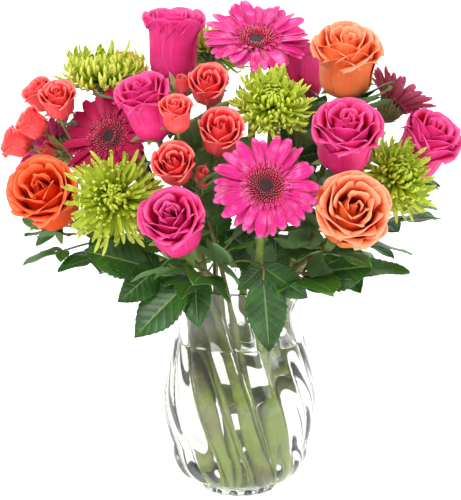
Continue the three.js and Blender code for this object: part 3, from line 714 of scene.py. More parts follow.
class VaseShape:
    """The fluted glass: a lobed outside, a nearly smooth inside, a rounded lip and a thick foot."""

    def __init__(self, sizes):
        levels = vase_levels()
        outer = smooth_profile(levels[:, :3], sizes.rows)
        heights = outer[:, 0]
        top = heights[-1]
        self.twist = np.interp(heights, levels[:, 0], levels[:, 3])
        self.flutes = sizes.flutes
        corners = sizes.flutes * sizes.steps
        self.angle = 2 * math.pi * np.arange(corners) / corners
        depth = sizes.flute_depth * ease(heights / top, -0.12, 0.05) * (1 - ease(heights / top, 0.84, 0.99))
        rounding = sizes.foot_rounding * (1 - np.sqrt(ease(heights, 0.0, 2.4 * sizes.foot_rounding)))
        swell = sizes.base_swell * np.sin(math.pi * np.clip(heights / sizes.base_height, 0, 1))
        crest = outer[:, 1] - rounding + swell
        lobe = self.lobes(slice(None)) ** sizes.sharpness
        outside = self.circles(crest[:, None] - depth[:, None] * (1 - lobe), heights[:, None])

        wall = sizes.wall + 0.5 * depth + THICK_BASE * (1 - ease(heights, *THICK_LEVELS))
        down = np.flatnonzero(heights > sizes.floor + FLOOR_EDGE)[::-1]
        inner_radius = (crest - wall)[down]
        ripple = 0.1 * depth[down]
        inner = inner_radius[:, None] - ripple[:, None] * (1 - self.lobes(down))
        inside = self.circles(inner, heights[down, None])
        self.inside = np.stack([heights[down], inner_radius], axis=1)[::-1]

        foot = [self.circle(share * crest[0], rise) for share, rise in UNDERSIDE]
        half_lip = 0.5 * sizes.wall
        middle = outer[-1, 1] - half_lip
        lip = []
        for turn in np.linspace(0.0, math.pi, 9)[1:-1]:
            rise = 0.56 * half_lip * math.sin(turn)
            lip.append(self.circle(middle + half_lip * math.cos(turn), top + rise))
        floor = [self.circle(share * inner_radius[-1], sizes.floor - drop) for share, drop in FLOOR_DISH]
        self.rings = np.concatenate([*foot, outside, *lip, inside, *floor])

    def lobes(self, rows):
        """How far out the flutes stand at each row and angle: 1 on a crest, 0 in a crease."""
        return np.abs(np.cos(0.5 * self.flutes * (self.angle[None] - self.twist[rows, None])))

    def circles(self, radii, levels):
        """Rings of points about the vase's axis."""
        radii, levels = np.broadcast_arrays(radii, levels)
        return np.stack([radii * np.cos(self.angle), radii * np.sin(self.angle), levels], axis=-1)

    def circle(self, radius, level):
        """One ring of points about the vase's axis."""
        return self.circles(np.full((1, len(self.angle)), radius), level)


def water_rings(sizes):
    """Rings round the water: its dished bottom, its side against the glass, and its surface's raised edge."""
    inside = VaseShape(sizes).inside
    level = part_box("water")[1].z
    floor = sizes.floor - DISH_DEPTH
    heights = np.linspace(sizes.floor + 0.0025, level, 40)
    radii = np.interp(heights, inside[:, 0], inside[:, 1]) + WATER_SINK
    base, edge = radii[0], radii[-1]
    bottom = [
        (0.03 * edge, floor - WATER_SINK),
        (0.45 * base, floor - WATER_SINK),
        (0.8 * base, floor),
        (0.95 * base, floor + 0.002),
    ]
    raised = [(edge, level + 0.0012), (edge - 0.0012, level + 0.0005), (edge - 0.003, level)]
    surface = [(share * edge, level) for share in (0.85, 0.6, 0.3, 0.02)]
    profile = np.array([*bottom, *zip(radii, heights), *raised, *surface])
    angle = 2 * math.pi * np.arange(128) / 128
    ripple = 0.00025 * np.sin(3 * angle)[None] * (profile[:, 1] >= level)[:, None]
    radius = profile[:, :1]
    return np.stack([radius * np.cos(angle), radius * np.sin(angle), profile[:, 1:] + ripple], axis=-1)


# ---------------------------------------------------------------- roses

# How a rose opens. Shares of its radius: belly and reach, the outer petals low down and at their widest.
# Shares of its height: centre, the innermost petals' tops, and drop, how far the outer ones stay below.
# wrap and span are half the turn that an inner and an outer petal goes round, in radians. drum is the share
# of the petals in the tight middle. lip is where along an outer petal its roll begins. open scales the
# roll and the lean outwards.
ROSE_STYLE = {
    "rows": 18,
    "columns": 15,
    "belly": 0.82,
    "centre": 0.93,
    "drop": 0.2,
    "open": 1.0,
    "wrap": 2.4,
    "span": 1.05,
    "drum": 0.6,
    "lip": 0.8,
    "reach": 1.02,
}
ROSE_OPEN = {
    "rose_pink_top": {"open": 0.62, "drop": 0.02, "belly": 0.94},
    "rose_pink_left": {"drop": 0.12},
    "rose_pink_front": {"drop": 0.16, "belly": 0.86},
}
PEACH_ROSES = ("rose_orange_top", "rose_orange_right")
SPRAY_STYLE = {
    **ROSE_STYLE,
    "petals": 20,
    "rows": 13,
    "columns": 11,
    "belly": 0.84,
    "drop": 0.14,
    "open": 0.85,
    "wrap": 2.3,
    "thickness": 0.0005,
    "roll": 115.0,
    "reach": 1.0,
}
BUD_STYLE = {
    **SPRAY_STYLE,
    "petals": 8,
    "rows": 12,
    "columns": 9,
    "open": 0.1,
    "drop": 0.02,
    "belly": 0.9,
    "span": 1.4,
    "centre": 1.0,
    "reach": 0.98,
}
BEND_AT = 0.42  # share of a petal's length at which it turns from outwards to upwards
NODE_RISE = 0.95  # height of a rose's node against that of its petals
ROSE_HIP = 0.0058  # radius of the hip
SPRAY_HIP = 0.0036
HIP_OUTLINE = ((0.15, -0.35), (0.5, -0.3), (0.72, -0.12), (1.0, 0.25), (1.1, 0.7), (1.0, 1.15), (0.3, 1.25))


def add_rose(batch, bloom, style):
    """Rose petals: a tight spiral in the middle, wider ones round it whose lips roll outwards."""
    rng = bloom.rng
    count, rows, columns = style["petals"], style["rows"], style["columns"]
    openness, drum = style["open"], style["drum"]
    ranks = [0, 0.5 * drum, drum, 1]
    radius = bloom.radius
    height = bloom.depth / NODE_RISE
    seat = 0.03 * height
    t = np.linspace(0, 1, count)[:, None, None]
    v = (1 - (1 - np.linspace(0, 1, rows)) ** 1.35)[None, :, None]
    u = np.linspace(-1, 1, columns)[None, None, :]
    wobble = rng.uniform(-1, 1, (6, count, 1, 1))
    turn = GOLDEN_ANGLE * np.arange(count)[:, None, None] + 0.25 * wobble[0]

    belly = radius * np.interp(t, ranks, [0.06, 0.33, 0.6, style["belly"]]) * (1 + 0.02 * wobble[1])
    stem_end = radius * mix(0.03, 0.1, t)
    tops = [style["centre"], 0.97, 0.99, 0.96, 1 - style["drop"]]
    top = height * np.interp(t, [0, 0.2, 0.75 * drum, drum, 1], tops)
    top = top * (1 + 0.012 * wobble[2])

    start = np.radians(mix(62, 84, t))
    lean = np.radians(np.interp(t, [0, drum, 1], [-20, 3, 14]) * openness + 3 * wobble[3])
    curl_from = mix(0.92, style["lip"], t)
    tips = 0.4 + 0.6 * ease(np.abs(u), 0.05, 0.65)
    roll = np.radians(np.interp(t, ranks, [10, 48, 85, style["roll"]])) * openness * tips
    roll = roll * (1 + 0.18 * wobble[4])
    rise_angle = start * np.clip(1 - v / BEND_AT, 0, 1) ** 1.2 + lean * ease(v, BEND_AT, 0.8)
    rise_angle = rise_angle + roll * ease(v, curl_from, 1.04)
    step = np.gradient(v, axis=1) * (1 - 0.13 * np.abs(u) ** 3)
    out_sum = running_sum(np.sin(rise_angle) * step, 1)
    up_sum = running_sum(np.cos(rise_angle) * step, 1)
    knee = int(np.argmin(np.abs(v[0, :, 0] - BEND_AT)))
    tall = (top - seat) / up_sum[:, :, columns // 2].max(1)[:, None, None]
    at_knee = out_sum[:, knee : knee + 1, :]
    lower = np.minimum(out_sum / at_knee, 1)
    upper = np.where(v > BEND_AT, (out_sum - at_knee) * tall, 0)
    outward = stem_end + (belly - stem_end) * lower + upper
    upward = seat + up_sum * tall

    half_turn = np.interp(t, ranks, [style["wrap"], 1.5, 1.15, style["span"]]) * (1 + 0.08 * wobble[5])
    width = mix(0.3, 1.0, ease(v, 0.0, 0.5)) * (1 - 0.4 * ease(v, 0.7, 1.0) * np.abs(u))
    phase = rng.uniform(0, 2 * math.pi, (3, count, 1, 1))
    overlap = 0.035 * radius * u * ease(v, 0.1, 0.6)
    waves = 0.02 * radius * (0.3 + t) * v**2 * np.sin(3.2 * u + phase[0])
    crimp = 0.006 * radius * v**3 * np.sin(11 * u + phase[1])
    dips = 0.014 * height * v**3 * np.sin(2.6 * u + phase[2])
    outward = np.maximum(outward + overlap + waves + crimp, 0.0004)
    limit = radius * np.interp(t, [0, drum, 1], [0.3, 0.82, style["reach"]])
    outward = outward * np.minimum(1, limit / outward.max(axis=(1, 2), keepdims=True))
    angle = turn - half_turn * width * u
    grid = np.stack([outward * np.cos(angle), outward * np.sin(angle), upward + dips], axis=-1)
    chance = rng.uniform(0, 1, (count, 1, 1, 1))
    add_sheets(batch, bloom.put(grid), style["thickness"], v[:, None], (u[:, None] + 1) / 2, chance)


def add_strips(
    batch, bloom, roots, ways, lengths, widths, bend, rows=9, columns=5, cup=0.15, thickness=0.0005
):
    """Narrow pointed bracts, which leave their roots the ways given and bend away from the bloom's axis."""
    count = len(roots)
    v = np.linspace(0, 1, rows)[None, :, None]
    u = np.linspace(1, -1, columns)[None, None, :]
    turn, lift = ways
    angle = lift[:, None] + bend[:, None] * np.linspace(0, 1, rows)[None]
    outwards = around(turn)[:, None]
    step = lengths[:, None, None] / (rows - 1)
    heading = np.sin(angle)[..., None] * outwards + np.cos(angle)[..., None] * UP
    spine = roots[:, None] + running_sum(heading * step, 1)
    side = np.stack([-np.sin(turn), np.cos(turn), np.zeros(count)], axis=-1)[:, None]
    normal = np.cross(side, heading)
    half = 0.5 * widths[:, None, None] * np.sin(math.pi * np.clip(0.12 + 0.88 * v, 0, 0.985)) ** 0.8
    hollow = (cup * half * u**2)[..., None] * normal[:, :, None]
    grid = spine[:, :, None] + (half * u)[..., None] * side[:, :, None] - hollow
    chance = bloom.rng.uniform(0, 1, (count, 1, 1, 1))
    add_sheets(batch, bloom.put(grid), thickness, v[:, None], (u[:, None] + 1) / 2, chance)


def add_calyx(batch, bloom, reach, hip, reflex):
    """The green hip under a rose and its five sepals, which hang away from the petals."""
    rng = bloom.rng
    add_turned(batch, bloom, np.array(HIP_OUTLINE) * hip, 20, 0.4)
    sepals = 5
    turn = 2 * math.pi * (np.arange(sepals) + 0.3 * rng.uniform(-1, 1, sepals)) / sepals
    roots = 0.95 * hip * around(turn) + hip * UP
    lift = np.radians(rng.uniform(48, 72, sepals))
    lengths = reach * rng.uniform(0.8, 1.15, sepals)
    bend = reflex * rng.uniform(0.5, 1.3, sepals)
    widths = np.full(sepals, 0.34 * reach)
    add_strips(batch, bloom, roots, (turn, lift), lengths, widths, bend, rows=12, columns=7)


# ---------------------------------------------------------------- gerberas

EYE_UNDERSIDE = ((0.02, -0.16), (0.7, -0.14), (0.95, -0.02), (0.98, 0.06))  # shares of the eye's radius
EYE_OUTLINE = (*EYE_UNDERSIDE, (0.75, 0.1), (0.4, 0.08), (0.2, 0.1), (0.02, 0.12))
CUP_OUTLINE = ((0.2, -0.02), (0.34, 0.0), (0.62, 0.12), (0.86, 0.4), (0.97, 0.75), (0.98, 0.98), (0.2, 1.0))
CUP_ROWS = ((0.1, 0.62, 18), (0.35, 0.85, 20), (0.6, 1.12, 22))  # start and end height of the bracts, count
CUP_RIBS = (0.02, 20)  # depth against the radius, count
CUP_HAIR = 0.00009  # radius of a hair
STEM_HAIR = 0.00006
EYE_DROP = 0.0036  # how far the petals' roots lie under the top of the bloom's node
WHORL_STEP = 0.0016  # height between the whorls
MAGENTA_GERBERAS = ("gerbera_left", "gerbera_right_back")


def add_gerbera_petals(batch, bloom, height, sizes):
    """Two whorls of long grooved petals and a short inner fringe."""
    rng = bloom.rng
    radius = bloom.radius
    rows, columns = 15, 9
    v = np.linspace(0, 1, rows)[None, :, None]
    u = np.linspace(1, -1, columns)[None, None, :]
    whorls = (
        (sizes.petals, 0.0, 1.0, 0.2, 0.0),
        (sizes.petals, 0.5, 0.96, 0.2, -WHORL_STEP),
        (2 * sizes.petals - 9, 0.25, 0.49, 0.3, WHORL_STEP),
    )
    for count, shift, reach, start, level in whorls:
        short = reach < 0.7
        some = np.arange(count)
        turn = 2 * math.pi * (some + shift + 0.22 * rng.uniform(-1, 1, count)) / count
        turn = turn[:, None, None]
        length = rng.uniform(0.93, 1.02, (count, 1, 1)) * reach
        root = start * radius
        end = radius * length
        along = root + (end - root) * v
        tilt = (bloom.rim - height) / radius
        droop = rng.uniform(-0.07, 0.12, (count, 1, 1))
        arch = radius * (0.05 * np.sin(math.pi * v) - droop * v**2)
        rise = height + level + tilt * along * (0.6 + 0.4 * v) + arch
        if short:
            rise = rise + radius * 0.03 * v
        wide = 0.5 * radius * (0.07 if short else sizes.petal_width)
        wide = wide * rng.uniform(0.82, 1.08, (count, 1, 1))
        outline = mix(0.42, 1.0, ease(v, 0.0, 0.6)) * np.sqrt(np.clip(1 - ease(v, 0.62, 1.06) ** 2, 0.04, 1))
        sideways = wide * outline * u
        bend = rng.uniform(-0.09, 0.09, (count, 1, 1)) * along * v
        twist = np.radians(rng.normal(0, 17, (count, 1, 1))) * v
        trough = rng.uniform(0.05, 0.4, (count, 1, 1)) * wide * outline * u**2
        lines = sum(np.exp(-(((u - at) / 0.13) ** 2)) for at in (-0.45, 0.0, 0.45))
        groove = -0.0008 * lines * ease(v, 0.05, 0.3)
        notch = 0.012 * radius * np.cos(2.5 * math.pi * u) * ease(v, 0.86, 1.0)
        lift = trough + groove
        across = sideways * np.cos(twist) - lift * np.sin(twist) + bend
        rise = rise + sideways * np.sin(twist) + lift * np.cos(twist)
        reach_out = along + notch
        x = reach_out * np.cos(turn) - across * np.sin(turn)
        y = reach_out * np.sin(turn) + across * np.cos(turn)
        grid = np.stack(np.broadcast_arrays(x, y, rise), axis=-1)
        chance = rng.uniform(0, 1, (count, 1, 1, 1))
        add_sheets(batch, bloom.put(grid), 0.0006, v[:, None], (u[:, None] + 1) / 2, chance)


def add_gerbera_disc(batch, bloom, height, sizes):
    """The eye: a dark low middle in a ring of thin florets that lean outwards."""
    rng = bloom.rng
    disc = sizes.disc * bloom.radius
    add_turned(batch, bloom, np.array(EYE_OUTLINE) * disc + [0, height + 0.001], 32, 0.0)
    count = sizes.florets
    share = np.sqrt((np.arange(count) + 0.5) / count)
    turn = GOLDEN_ANGLE * np.arange(count)
    outer = ease(share, 0.38, 0.48)
    lean = mix(0.1, 1.3, ease(share, 0.3, 0.9)) + 0.14 * rng.uniform(-1, 1, count)
    length = disc * mix(0.1, 0.34, outer) * rng.uniform(0.8, 1.15, count)
    length = length * mix(1.0, 1.15, ease(share, 0.85, 1.0))
    rows = 6
    s = np.linspace(0, 1, rows)[None]
    angle = lean[:, None] * (0.55 + 0.6 * s) - 0.5 * outer[:, None] * s**3
    outwards = around(turn)[:, None]
    heading = np.sin(angle)[..., None] * outwards + np.cos(angle)[..., None] * UP
    root = 0.92 * disc * share[:, None] * outwards[:, 0] + (height + 0.0012) * UP
    path = root[:, None] + running_sum(heading * length[:, None, None] / (rows - 1), 1)
    thick = mix(0.03, 0.024, outer)[:, None] * disc * np.array([0.8, 1.0, 0.95, 0.85, 1.05, 0.35])[None]
    add_tubes(batch, bloom.put(path), thick, 5, share[:, None, None] * 0.999)


def add_gerbera_cup(batch, hairs, bloom, height, count):
    """The rounded cup under the petals: rows of narrow bracts with pale hairs on them."""
    rng = bloom.rng
    radius = 0.3 * bloom.radius
    profile = np.array(CUP_OUTLINE)
    add_turned(batch, bloom, profile * [radius, height], 40, 0.3, ribs=CUP_RIBS)
    for row, (low, high, bracts) in enumerate(CUP_ROWS):
        turn = 2 * math.pi * (np.arange(bracts) + 0.5 * row + 0.15 * rng.uniform(-1, 1, bracts)) / bracts
        at = np.interp(low, [0.0, 0.12, 0.4, 0.75, 1.0], [0.36, 0.62, 0.86, 0.97, 0.99]) * radius
        roots = at * around(turn) + low * height * UP
        lift = np.full(bracts, mix(0.85, 0.3, low)) + 0.1 * rng.uniform(-1, 1, bracts)
        lengths = (high - low) * height * rng.uniform(1.0, 1.25, bracts)
        widths = np.full(bracts, 0.24 * radius)
        bend = np.full(bracts, -0.35)
        add_strips(batch, bloom, roots, (turn, lift), lengths, widths, bend, rows=7, thickness=0.0004)
    turn = rng.uniform(0, 2 * math.pi, count)
    level = rng.uniform(0.02, 0.98, count)
    out = np.interp(level, profile[1:-1, 1], profile[1:-1, 0]) * radius
    roots = out[:, None] * around(turn) + (level * height)[:, None] * UP
    upwards = rng.uniform(-0.2, 0.9, count)[:, None] * UP
    heading = unit(around(turn) + upwards + 0.3 * rng.normal(0, 1, (count, 3)))
    lengths = rng.uniform(0.0015, 0.0034, count)
    add_hairs(hairs, bloom.put(roots), heading @ bloom.frame.T, lengths, rng)


def add_hairs(batch, roots, headings, lengths, rng, radius=CUP_HAIR):
    """Fine tapered hairs that stand on a skin."""
    s = np.array([-0.15, 0.45, 1.0])
    sag = 0.25 * rng.normal(0, 1, (len(roots), 1, 3)) * (s**2)[None, :, None]
    path = roots[:, None] + (headings[:, None] * s[None, :, None] + sag) * lengths[:, None, None]
    radii = np.broadcast_to(radius * np.array([1.0, 0.8, 0.25])[None], (len(roots), 3))
    add_tubes(batch, path, radii, 3, rng.uniform(0, 1, (len(roots), 1, 1)))


# ---------------------------------------------------------------- spider chrysanthemums

# how a chrysanthemum opens: its seat as a share of its height, its outer florets' spread and droop in degrees
MUM_OPEN = {"seat": 0.32, "spread": 112, "droop": 22}
MUM_SHAPES = {
    "mum_top_left": {"seat": 0.3, "spread": 96, "droop": 2},
    "mum_left": {"seat": 0.34, "spread": 118, "droop": 34},
    "mum_right": {"seat": 0.34, "spread": 122, "droop": 30},
    "mum_centre": {"seat": 0.32, "spread": 112, "droop": 10},
}
MUM_RISE = 0.96  # height of a chrysanthemum's node against that of its florets
MUM_CUP_OUTLINE = ((0.15, 0.0), (0.4, 0.05), (0.9, 0.55), (1.0, 0.85), (0.8, 1.1), (0.1, 1.2))
MUM_BRACTS = 26


def add_mum(batch, bloom, sizes, shape):
    """Channelled florets: short and hooked inwards in the middle, long and loose round the outside."""
    rng = bloom.rng
    radius = bloom.radius
    height = bloom.depth / MUM_RISE
    count, rows, columns = sizes.florets, 11, 5
    share = (np.arange(count) + 0.5) / count
    lift = np.radians(mix(4, shape["spread"], share**0.62)) + np.radians(7) * rng.normal(0, 1, count)
    turn = GOLDEN_ANGLE * np.arange(count) + 0.1 * rng.normal(0, 1, count)
    length = radius * mix(0.36, 0.94, ease(share, 0.0, 0.75)) * rng.uniform(0.72, 1.12, count)
    s = np.linspace(0, 1, rows)[None]
    inwards = -np.radians(mix(120, 22, ease(share, 0.0, 0.5)))[:, None] * s
    droop = np.radians(shape["droop"] * ease(share, 0.3, 1.0))[:, None] * ease(s, 0.05, 0.7)
    hook = -np.radians(rng.uniform(30, 150, count) * mix(0.5, 1.0, share))[:, None] * ease(s, 0.62, 1.0)
    angle = lift[:, None] + inwards + droop + hook
    swing = turn[:, None] + rng.normal(0, 0.3, count)[:, None] * s**2
    outwards = around(swing)
    heading = np.sin(angle)[..., None] * outwards + np.cos(angle)[..., None] * UP
    head = 0.15 * radius
    middle = np.array([0, 0, shape["seat"] * height])
    root = middle + head * (np.sin(lift)[:, None] * outwards[:, 0] + np.cos(lift)[:, None] * UP * 0.7)
    spine = root[:, None] + running_sum(heading * length[:, None, None] / (rows - 1), 1)
    side = np.stack([-np.sin(swing), np.cos(swing), np.zeros_like(swing)], axis=-1)
    normal = np.cross(heading, side)
    wide = sizes.floret_width * rng.uniform(0.85, 1.15, count)[:, None]
    wide = wide * mix(0.75, 1.05, ease(share, 0, 0.5))[:, None]
    wide = wide * np.interp(s, [0, 0.15, 0.7, 0.88, 0.97, 1], [0.6, 0.85, 1.0, 1.3, 1.0, 0.45])
    fold = np.radians(np.interp(s, [0, 0.6, 0.9, 1], [95, 88, 62, 50]))
    u = np.linspace(-1, 1, columns)[None, None, :]
    turned = fold[..., None] * u
    bow = 0.5 * wide[..., None]
    sideways = (bow * np.sin(turned))[..., None] * side[:, :, None]
    upwards = (bow * (1 - np.cos(turned)))[..., None] * normal[:, :, None]
    grid = spine[:, :, None] + sideways + upwards
    depth = share[:, None, None, None]
    add_sheets(batch, bloom.put(grid), 0.0005, s[:, None, :, None], (u[:, None] + 1) / 2, depth)


def add_mum_cup(batch, bloom, shape):
    """The green cup under the florets, with bracts that stand off it."""
    seat = shape["seat"] * bloom.depth / MUM_RISE
    head = 0.17 * bloom.radius
    add_turned(batch, bloom, np.array(MUM_CUP_OUTLINE) * [head, seat], 28, 0.3)
    turn = GOLDEN_ANGLE * np.arange(MUM_BRACTS)
    low = np.linspace(0.2, 0.8, MUM_BRACTS) * seat
    roots = 0.75 * head * around(turn) + low[:, None] * UP
    lift = np.radians(np.linspace(70, 95, MUM_BRACTS))
    size = np.full(MUM_BRACTS, 0.24 * bloom.radius)
    add_strips(batch, bloom, roots, (turn, lift), size, 0.3 * size, np.full(MUM_BRACTS, -0.3))


# ---------------------------------------------------------------- leaves


def half_width(v):
    """Half of a leaflet's width along its length, with the widest place near the base."""
    return 0.5 * np.sin(math.pi * np.clip(v, 0, 1) ** 0.82) ** 0.8


RING_SHARE = 0.75  # how far along a leaflet its last ring of points lies
ARCH = 0.12  # how far a leaflet's tip hangs down, against its length
TROUGH = 0.16  # how far a leaflet's edges stand up, against its half width
NODE_FOLD = 0.107  # how far the middle of that ring lies under its wings, against its half width
TIP_SHARPNESS = 0.74  # edges at a leaflet's tip point this much the same way
SHORTEST_EDGE = 0.0045  # edges at a leaflet's tip are longer than this
STALK_ROOM = 0.012  # no leaflet's tip is this near the stem
FILLER_TRIES = 60  # places tried for each small leaf
FILLER_CLEARANCE = 0.0024  # free space round a small leaf
SEARCH_RADIUS = 0.045  # how far around a leaf other pieces are looked for
SIDE_ANGLE = math.radians(58)  # between a small leaf's end leaflet and its side ones


class Leaflet:
    """A leaflet's base, tip, width and directions, read from its tip and the ring of points below it."""

    def __init__(self, tip, ring):
        centre = ring.mean(0)
        heading = tip - centre
        spread = ring - centre
        across = np.linalg.svd(spread - np.outer(spread @ unit(heading), unit(heading)))[2][0]
        normal = unit(np.cross(across, heading))
        reach = spread @ across
        wings = np.abs(reach) > 0.7 * np.abs(reach).max()
        if (spread[wings] @ normal).mean() < (spread[~wings] @ normal).mean():
            normal = -normal
        width = np.ptp(reach) / (2 * half_width(np.array(RING_SHARE)))
        heading = heading + normal * NODE_FOLD * 0.5 * np.ptp(reach)
        fall = ARCH * (1 - RING_SHARE**2) / (1 - RING_SHARE)
        length = np.linalg.norm(heading) / ((1 - RING_SHARE) * math.hypot(1, fall))
        self.along = unit(heading + normal * np.linalg.norm(heading) * math.sin(math.atan(fall)))
        self.across = unit(np.cross(self.along, normal))
        self.normal = np.cross(self.across, self.along)
        self.tip = tip
        self.length = length
        self.width = width
        self.base = tip - length * self.along + ARCH * length * self.normal


def leaflets_of(node):
    """The leaflets of a compound leaf, largest first, and the place where its stalk leaves the stem."""
    solid = SOLIDS[node]
    gaps = np.array([np.linalg.norm(STEM_POINTS - point, axis=1).min() for point in solid.points])
    joint = solid.points[gaps.argmin()]
    found = []
    for i, point in enumerate(solid.points):
        ring = solid.points[sorted(solid.joined[i])]
        towards = ring - point
        spans = np.linalg.norm(towards, axis=1)
        sharp = np.linalg.norm((towards / spans[:, None]).mean(0))
        clear = np.linalg.norm(point - joint) > STALK_ROOM
        if sharp > TIP_SHARPNESS and spans.min() > SHORTEST_EDGE and clear:
            found.append(Leaflet(point, ring))
    found.sort(key=lambda leaflet: -leaflet.length)
    return found, joint


def add_leaflet(batch, leaflet, rng, teeth=13, chance=0.0):
    """A toothed, folded and veined blade, puckered between its veins."""
    rows, columns = 66, 15
    v = np.linspace(0, 1, rows)[None, :, None]
    u = np.linspace(-1, 1, columns)[None, None, :]
    edge = np.abs(u)
    tooth = ((v * teeth) % 1.0) * ease(v, 0.04, 0.14) * (1 - ease(v, 0.93, 1.0))
    half = leaflet.width * half_width(v) * (1 + 0.1 * (tooth - 0.55) * edge**5)
    half = np.maximum(half, 0.0002)
    x = half * u
    slant = (v - edge * 0.2) * LEAF_VEINS
    vein = np.exp(-((((slant % 1.0) - 0.5) / 0.16) ** 2)) * (1 - edge**6)
    midrib = np.exp(-((u / 0.07) ** 2))
    phase = rng.uniform(0, 2 * math.pi, 3)
    wave = 0.04 * leaflet.width * edge**2 * np.sin(9 * v + phase[0] + np.sign(u) * 1.3) * ease(v, 0, 0.2)
    curl = 0.1 * leaflet.width * edge**2 * rng.uniform(-0.6, 1.0) * ease(v, 0.1, 0.9)
    twist = 0.12 * x * math.sin(phase[1]) * v
    lift = TROUGH * np.abs(x) - ARCH * leaflet.length * v**2 + wave - curl + twist
    lift = lift - 0.0004 * vein - 0.0006 * midrib
    grid = leaflet.base + leaflet.length * v[..., None] * leaflet.along
    grid = grid + x[..., None] * leaflet.across + lift[..., None] * leaflet.normal
    add_sheets(batch, grid, 0.0005, v[:, None], (u[:, None] + 1) / 2, chance)


def add_leaf(blades, stalks, node):
    """A compound leaf: its leaflets and the stalk that joins them to the stem."""
    rng = seeded(node)
    found, joint = leaflets_of(node)
    end = found[0]
    fork = end.base - 0.009 * end.along
    bow = 0.5 * (joint + fork) + 0.1 * np.linalg.norm(fork - joint) * UP
    spine = smooth_path(np.array([joint, bow, fork, end.base + 0.004 * end.along]), 0.002)
    radii = np.interp(path_length(spine), [0, 0.006, 1], [0.0021, 0.0011, 0.0009])[None]
    add_tubes(stalks, spine[None], radii, 8, 0.3)
    for leaflet in found:
        if leaflet is not end:
            inside = leaflet.base + 0.003 * leaflet.along
            root = smooth_path(np.array([fork, mix(fork, leaflet.base, 0.5), inside]), 0.001)
            add_tubes(stalks, root[None], np.full((1, len(root)), 0.0008), 8, 0.3)
        add_leaflet(blades, leaflet, rng)


class Room:
    """The space taken by the blooms, the vase and the leaves placed so far."""

    def __init__(self):
        names = [name for name in SOLIDS if name.endswith("_bloom") or name in ("vase", "water")]
        self.trees = [search_tree(SOLIDS[name]) for name in names]
        self.spots = []

    def is_free(self, points, clearance):
        """Whether every point is outside the pieces by the clearance, and apart from earlier leaves."""
        for point in points:
            for tree in self.trees:
                hit, normal, _face, distance = tree.find_nearest(Vector(point), SEARCH_RADIUS)
                if hit is not None and (distance < clearance or (Vector(point) - hit).dot(normal) < 0):
                    return False
            if any(np.linalg.norm(point - spot) < 2.5 * clearance for spot in self.spots):
                return False
        return True


class NewLeaflet(Leaflet):
    """A leaflet set out from its base, its direction and the way its upper side faces."""

    def __init__(self, base, along, face, length, width):
        self.base = base
        self.along = unit(along)
        self.across = unit(np.cross(self.along, face))
        self.normal = np.cross(self.across, self.along)
        self.length = length
        self.width = width
        self.tip = base + length * self.along - ARCH * length * self.normal


def check_points(leaflet):
    """Points down the middle and along both edges of a leaflet."""
    points = []
    for share in (0.05, 0.35, 0.65, 1.0):
        fall = ARCH * leaflet.length * share**2 * leaflet.normal
        middle = leaflet.base + share * leaflet.length * leaflet.along - fall
        half = leaflet.width * half_width(np.array(share)) * 0.9
        points += [middle, middle + half * leaflet.across, middle - half * leaflet.across]
    return points


def add_filler_leaves(blades, stalks, bloom, room, wanted, rng):
    """Small three-part leaves where a rose's stem has room for them, above the vase's rim."""
    path = smooth_path(stem_path(bloom)[0], 0.004)
    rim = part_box("vase")[1].z
    low, high = np.array(cad_box[0]), np.array(cad_box[1])
    places = path[(path[:, 2] > rim + 0.006) & (np.linalg.norm(path - bloom.foot, axis=1) > 0.02)]
    placed = 0
    for _attempt in range(FILLER_TRIES * wanted):
        if placed == wanted or not len(places):
            break
        root = places[rng.integers(len(places))]
        turn = rng.uniform(0, 2 * math.pi)
        from_axis = unit(np.array([root[0], root[1], 0.02]))
        outwards = unit(0.8 * np.array([math.cos(turn), math.sin(turn), 0]) + 0.7 * from_axis)
        along = unit(outwards + rng.uniform(-0.25, 0.7) * UP)
        face = unit(UP + 0.5 * outwards + 0.35 * rng.normal(0, 1, 3))
        length = rng.uniform(0.034, 0.06)
        fork = root + along * rng.uniform(0.014, 0.045)
        end = NewLeaflet(fork + 0.007 * along, along, face, length, 0.62 * length)
        leaflets = [end]
        for angle in (-SIDE_ANGLE, SIDE_ANGLE):
            turned = math.cos(angle) * end.along + math.sin(angle) * end.across
            side = rng.uniform(0.6, 0.8) * length
            leaflets.append(NewLeaflet(fork + 0.002 * turned, turned, end.normal, side, 0.6 * side))
        tests = np.array([point for leaflet in leaflets for point in check_points(leaflet)])
        outside = (tests < low).any() or (tests > high).any()
        if outside or not room.is_free(tests, FILLER_CLEARANCE):
            continue
        room.spots += list(tests)
        bow = 0.5 * (root + fork) + 0.001 * UP
        spine = smooth_path(np.array([root, bow, fork, end.base + 0.004 * end.along]), 0.002)
        radii = np.interp(path_length(spine), [0, 0.005, 1], [0.0018, 0.001, 0.0008])[None]
        add_tubes(stalks, spine[None], radii, 8, 0.3)
        for leaflet in leaflets:
            add_leaflet(blades, leaflet, rng, teeth=11, chance=rng.uniform(0, 1))
        placed += 1


# ---------------------------------------------------------------- stems

STEM_RIBS = {"rose": (0.03, 5), "mum": (0.07, 6), "gerbera": (0.035, 9)}  # depth against the radius, count
KNOT_SPACING = 0.052
THORN_RADII = (0.0021, 0.0014, 0.0009, 0.0006, 0.00032, 0.0001)
SKIN_STEP = 0.00055  # voxel size of the skin over a spray's branches
BUD_THICKNESS = 0.0068  # a spray's skin is thicker than this only at its buds
BUD_GAP = 0.0085  # points of one bud are nearer to each other than this
BUD_POINTS = 16  # least number of points in a bud
RING_GAP = 0.0032  # between neighbours in the ring at a bud's top
RING_POINTS = 8
RING_DEPTH = 0.006  # how far under a bud's highest point that ring may lie
BUD_RISE = 0.94  # of a bud's height lies between its lowest and highest points


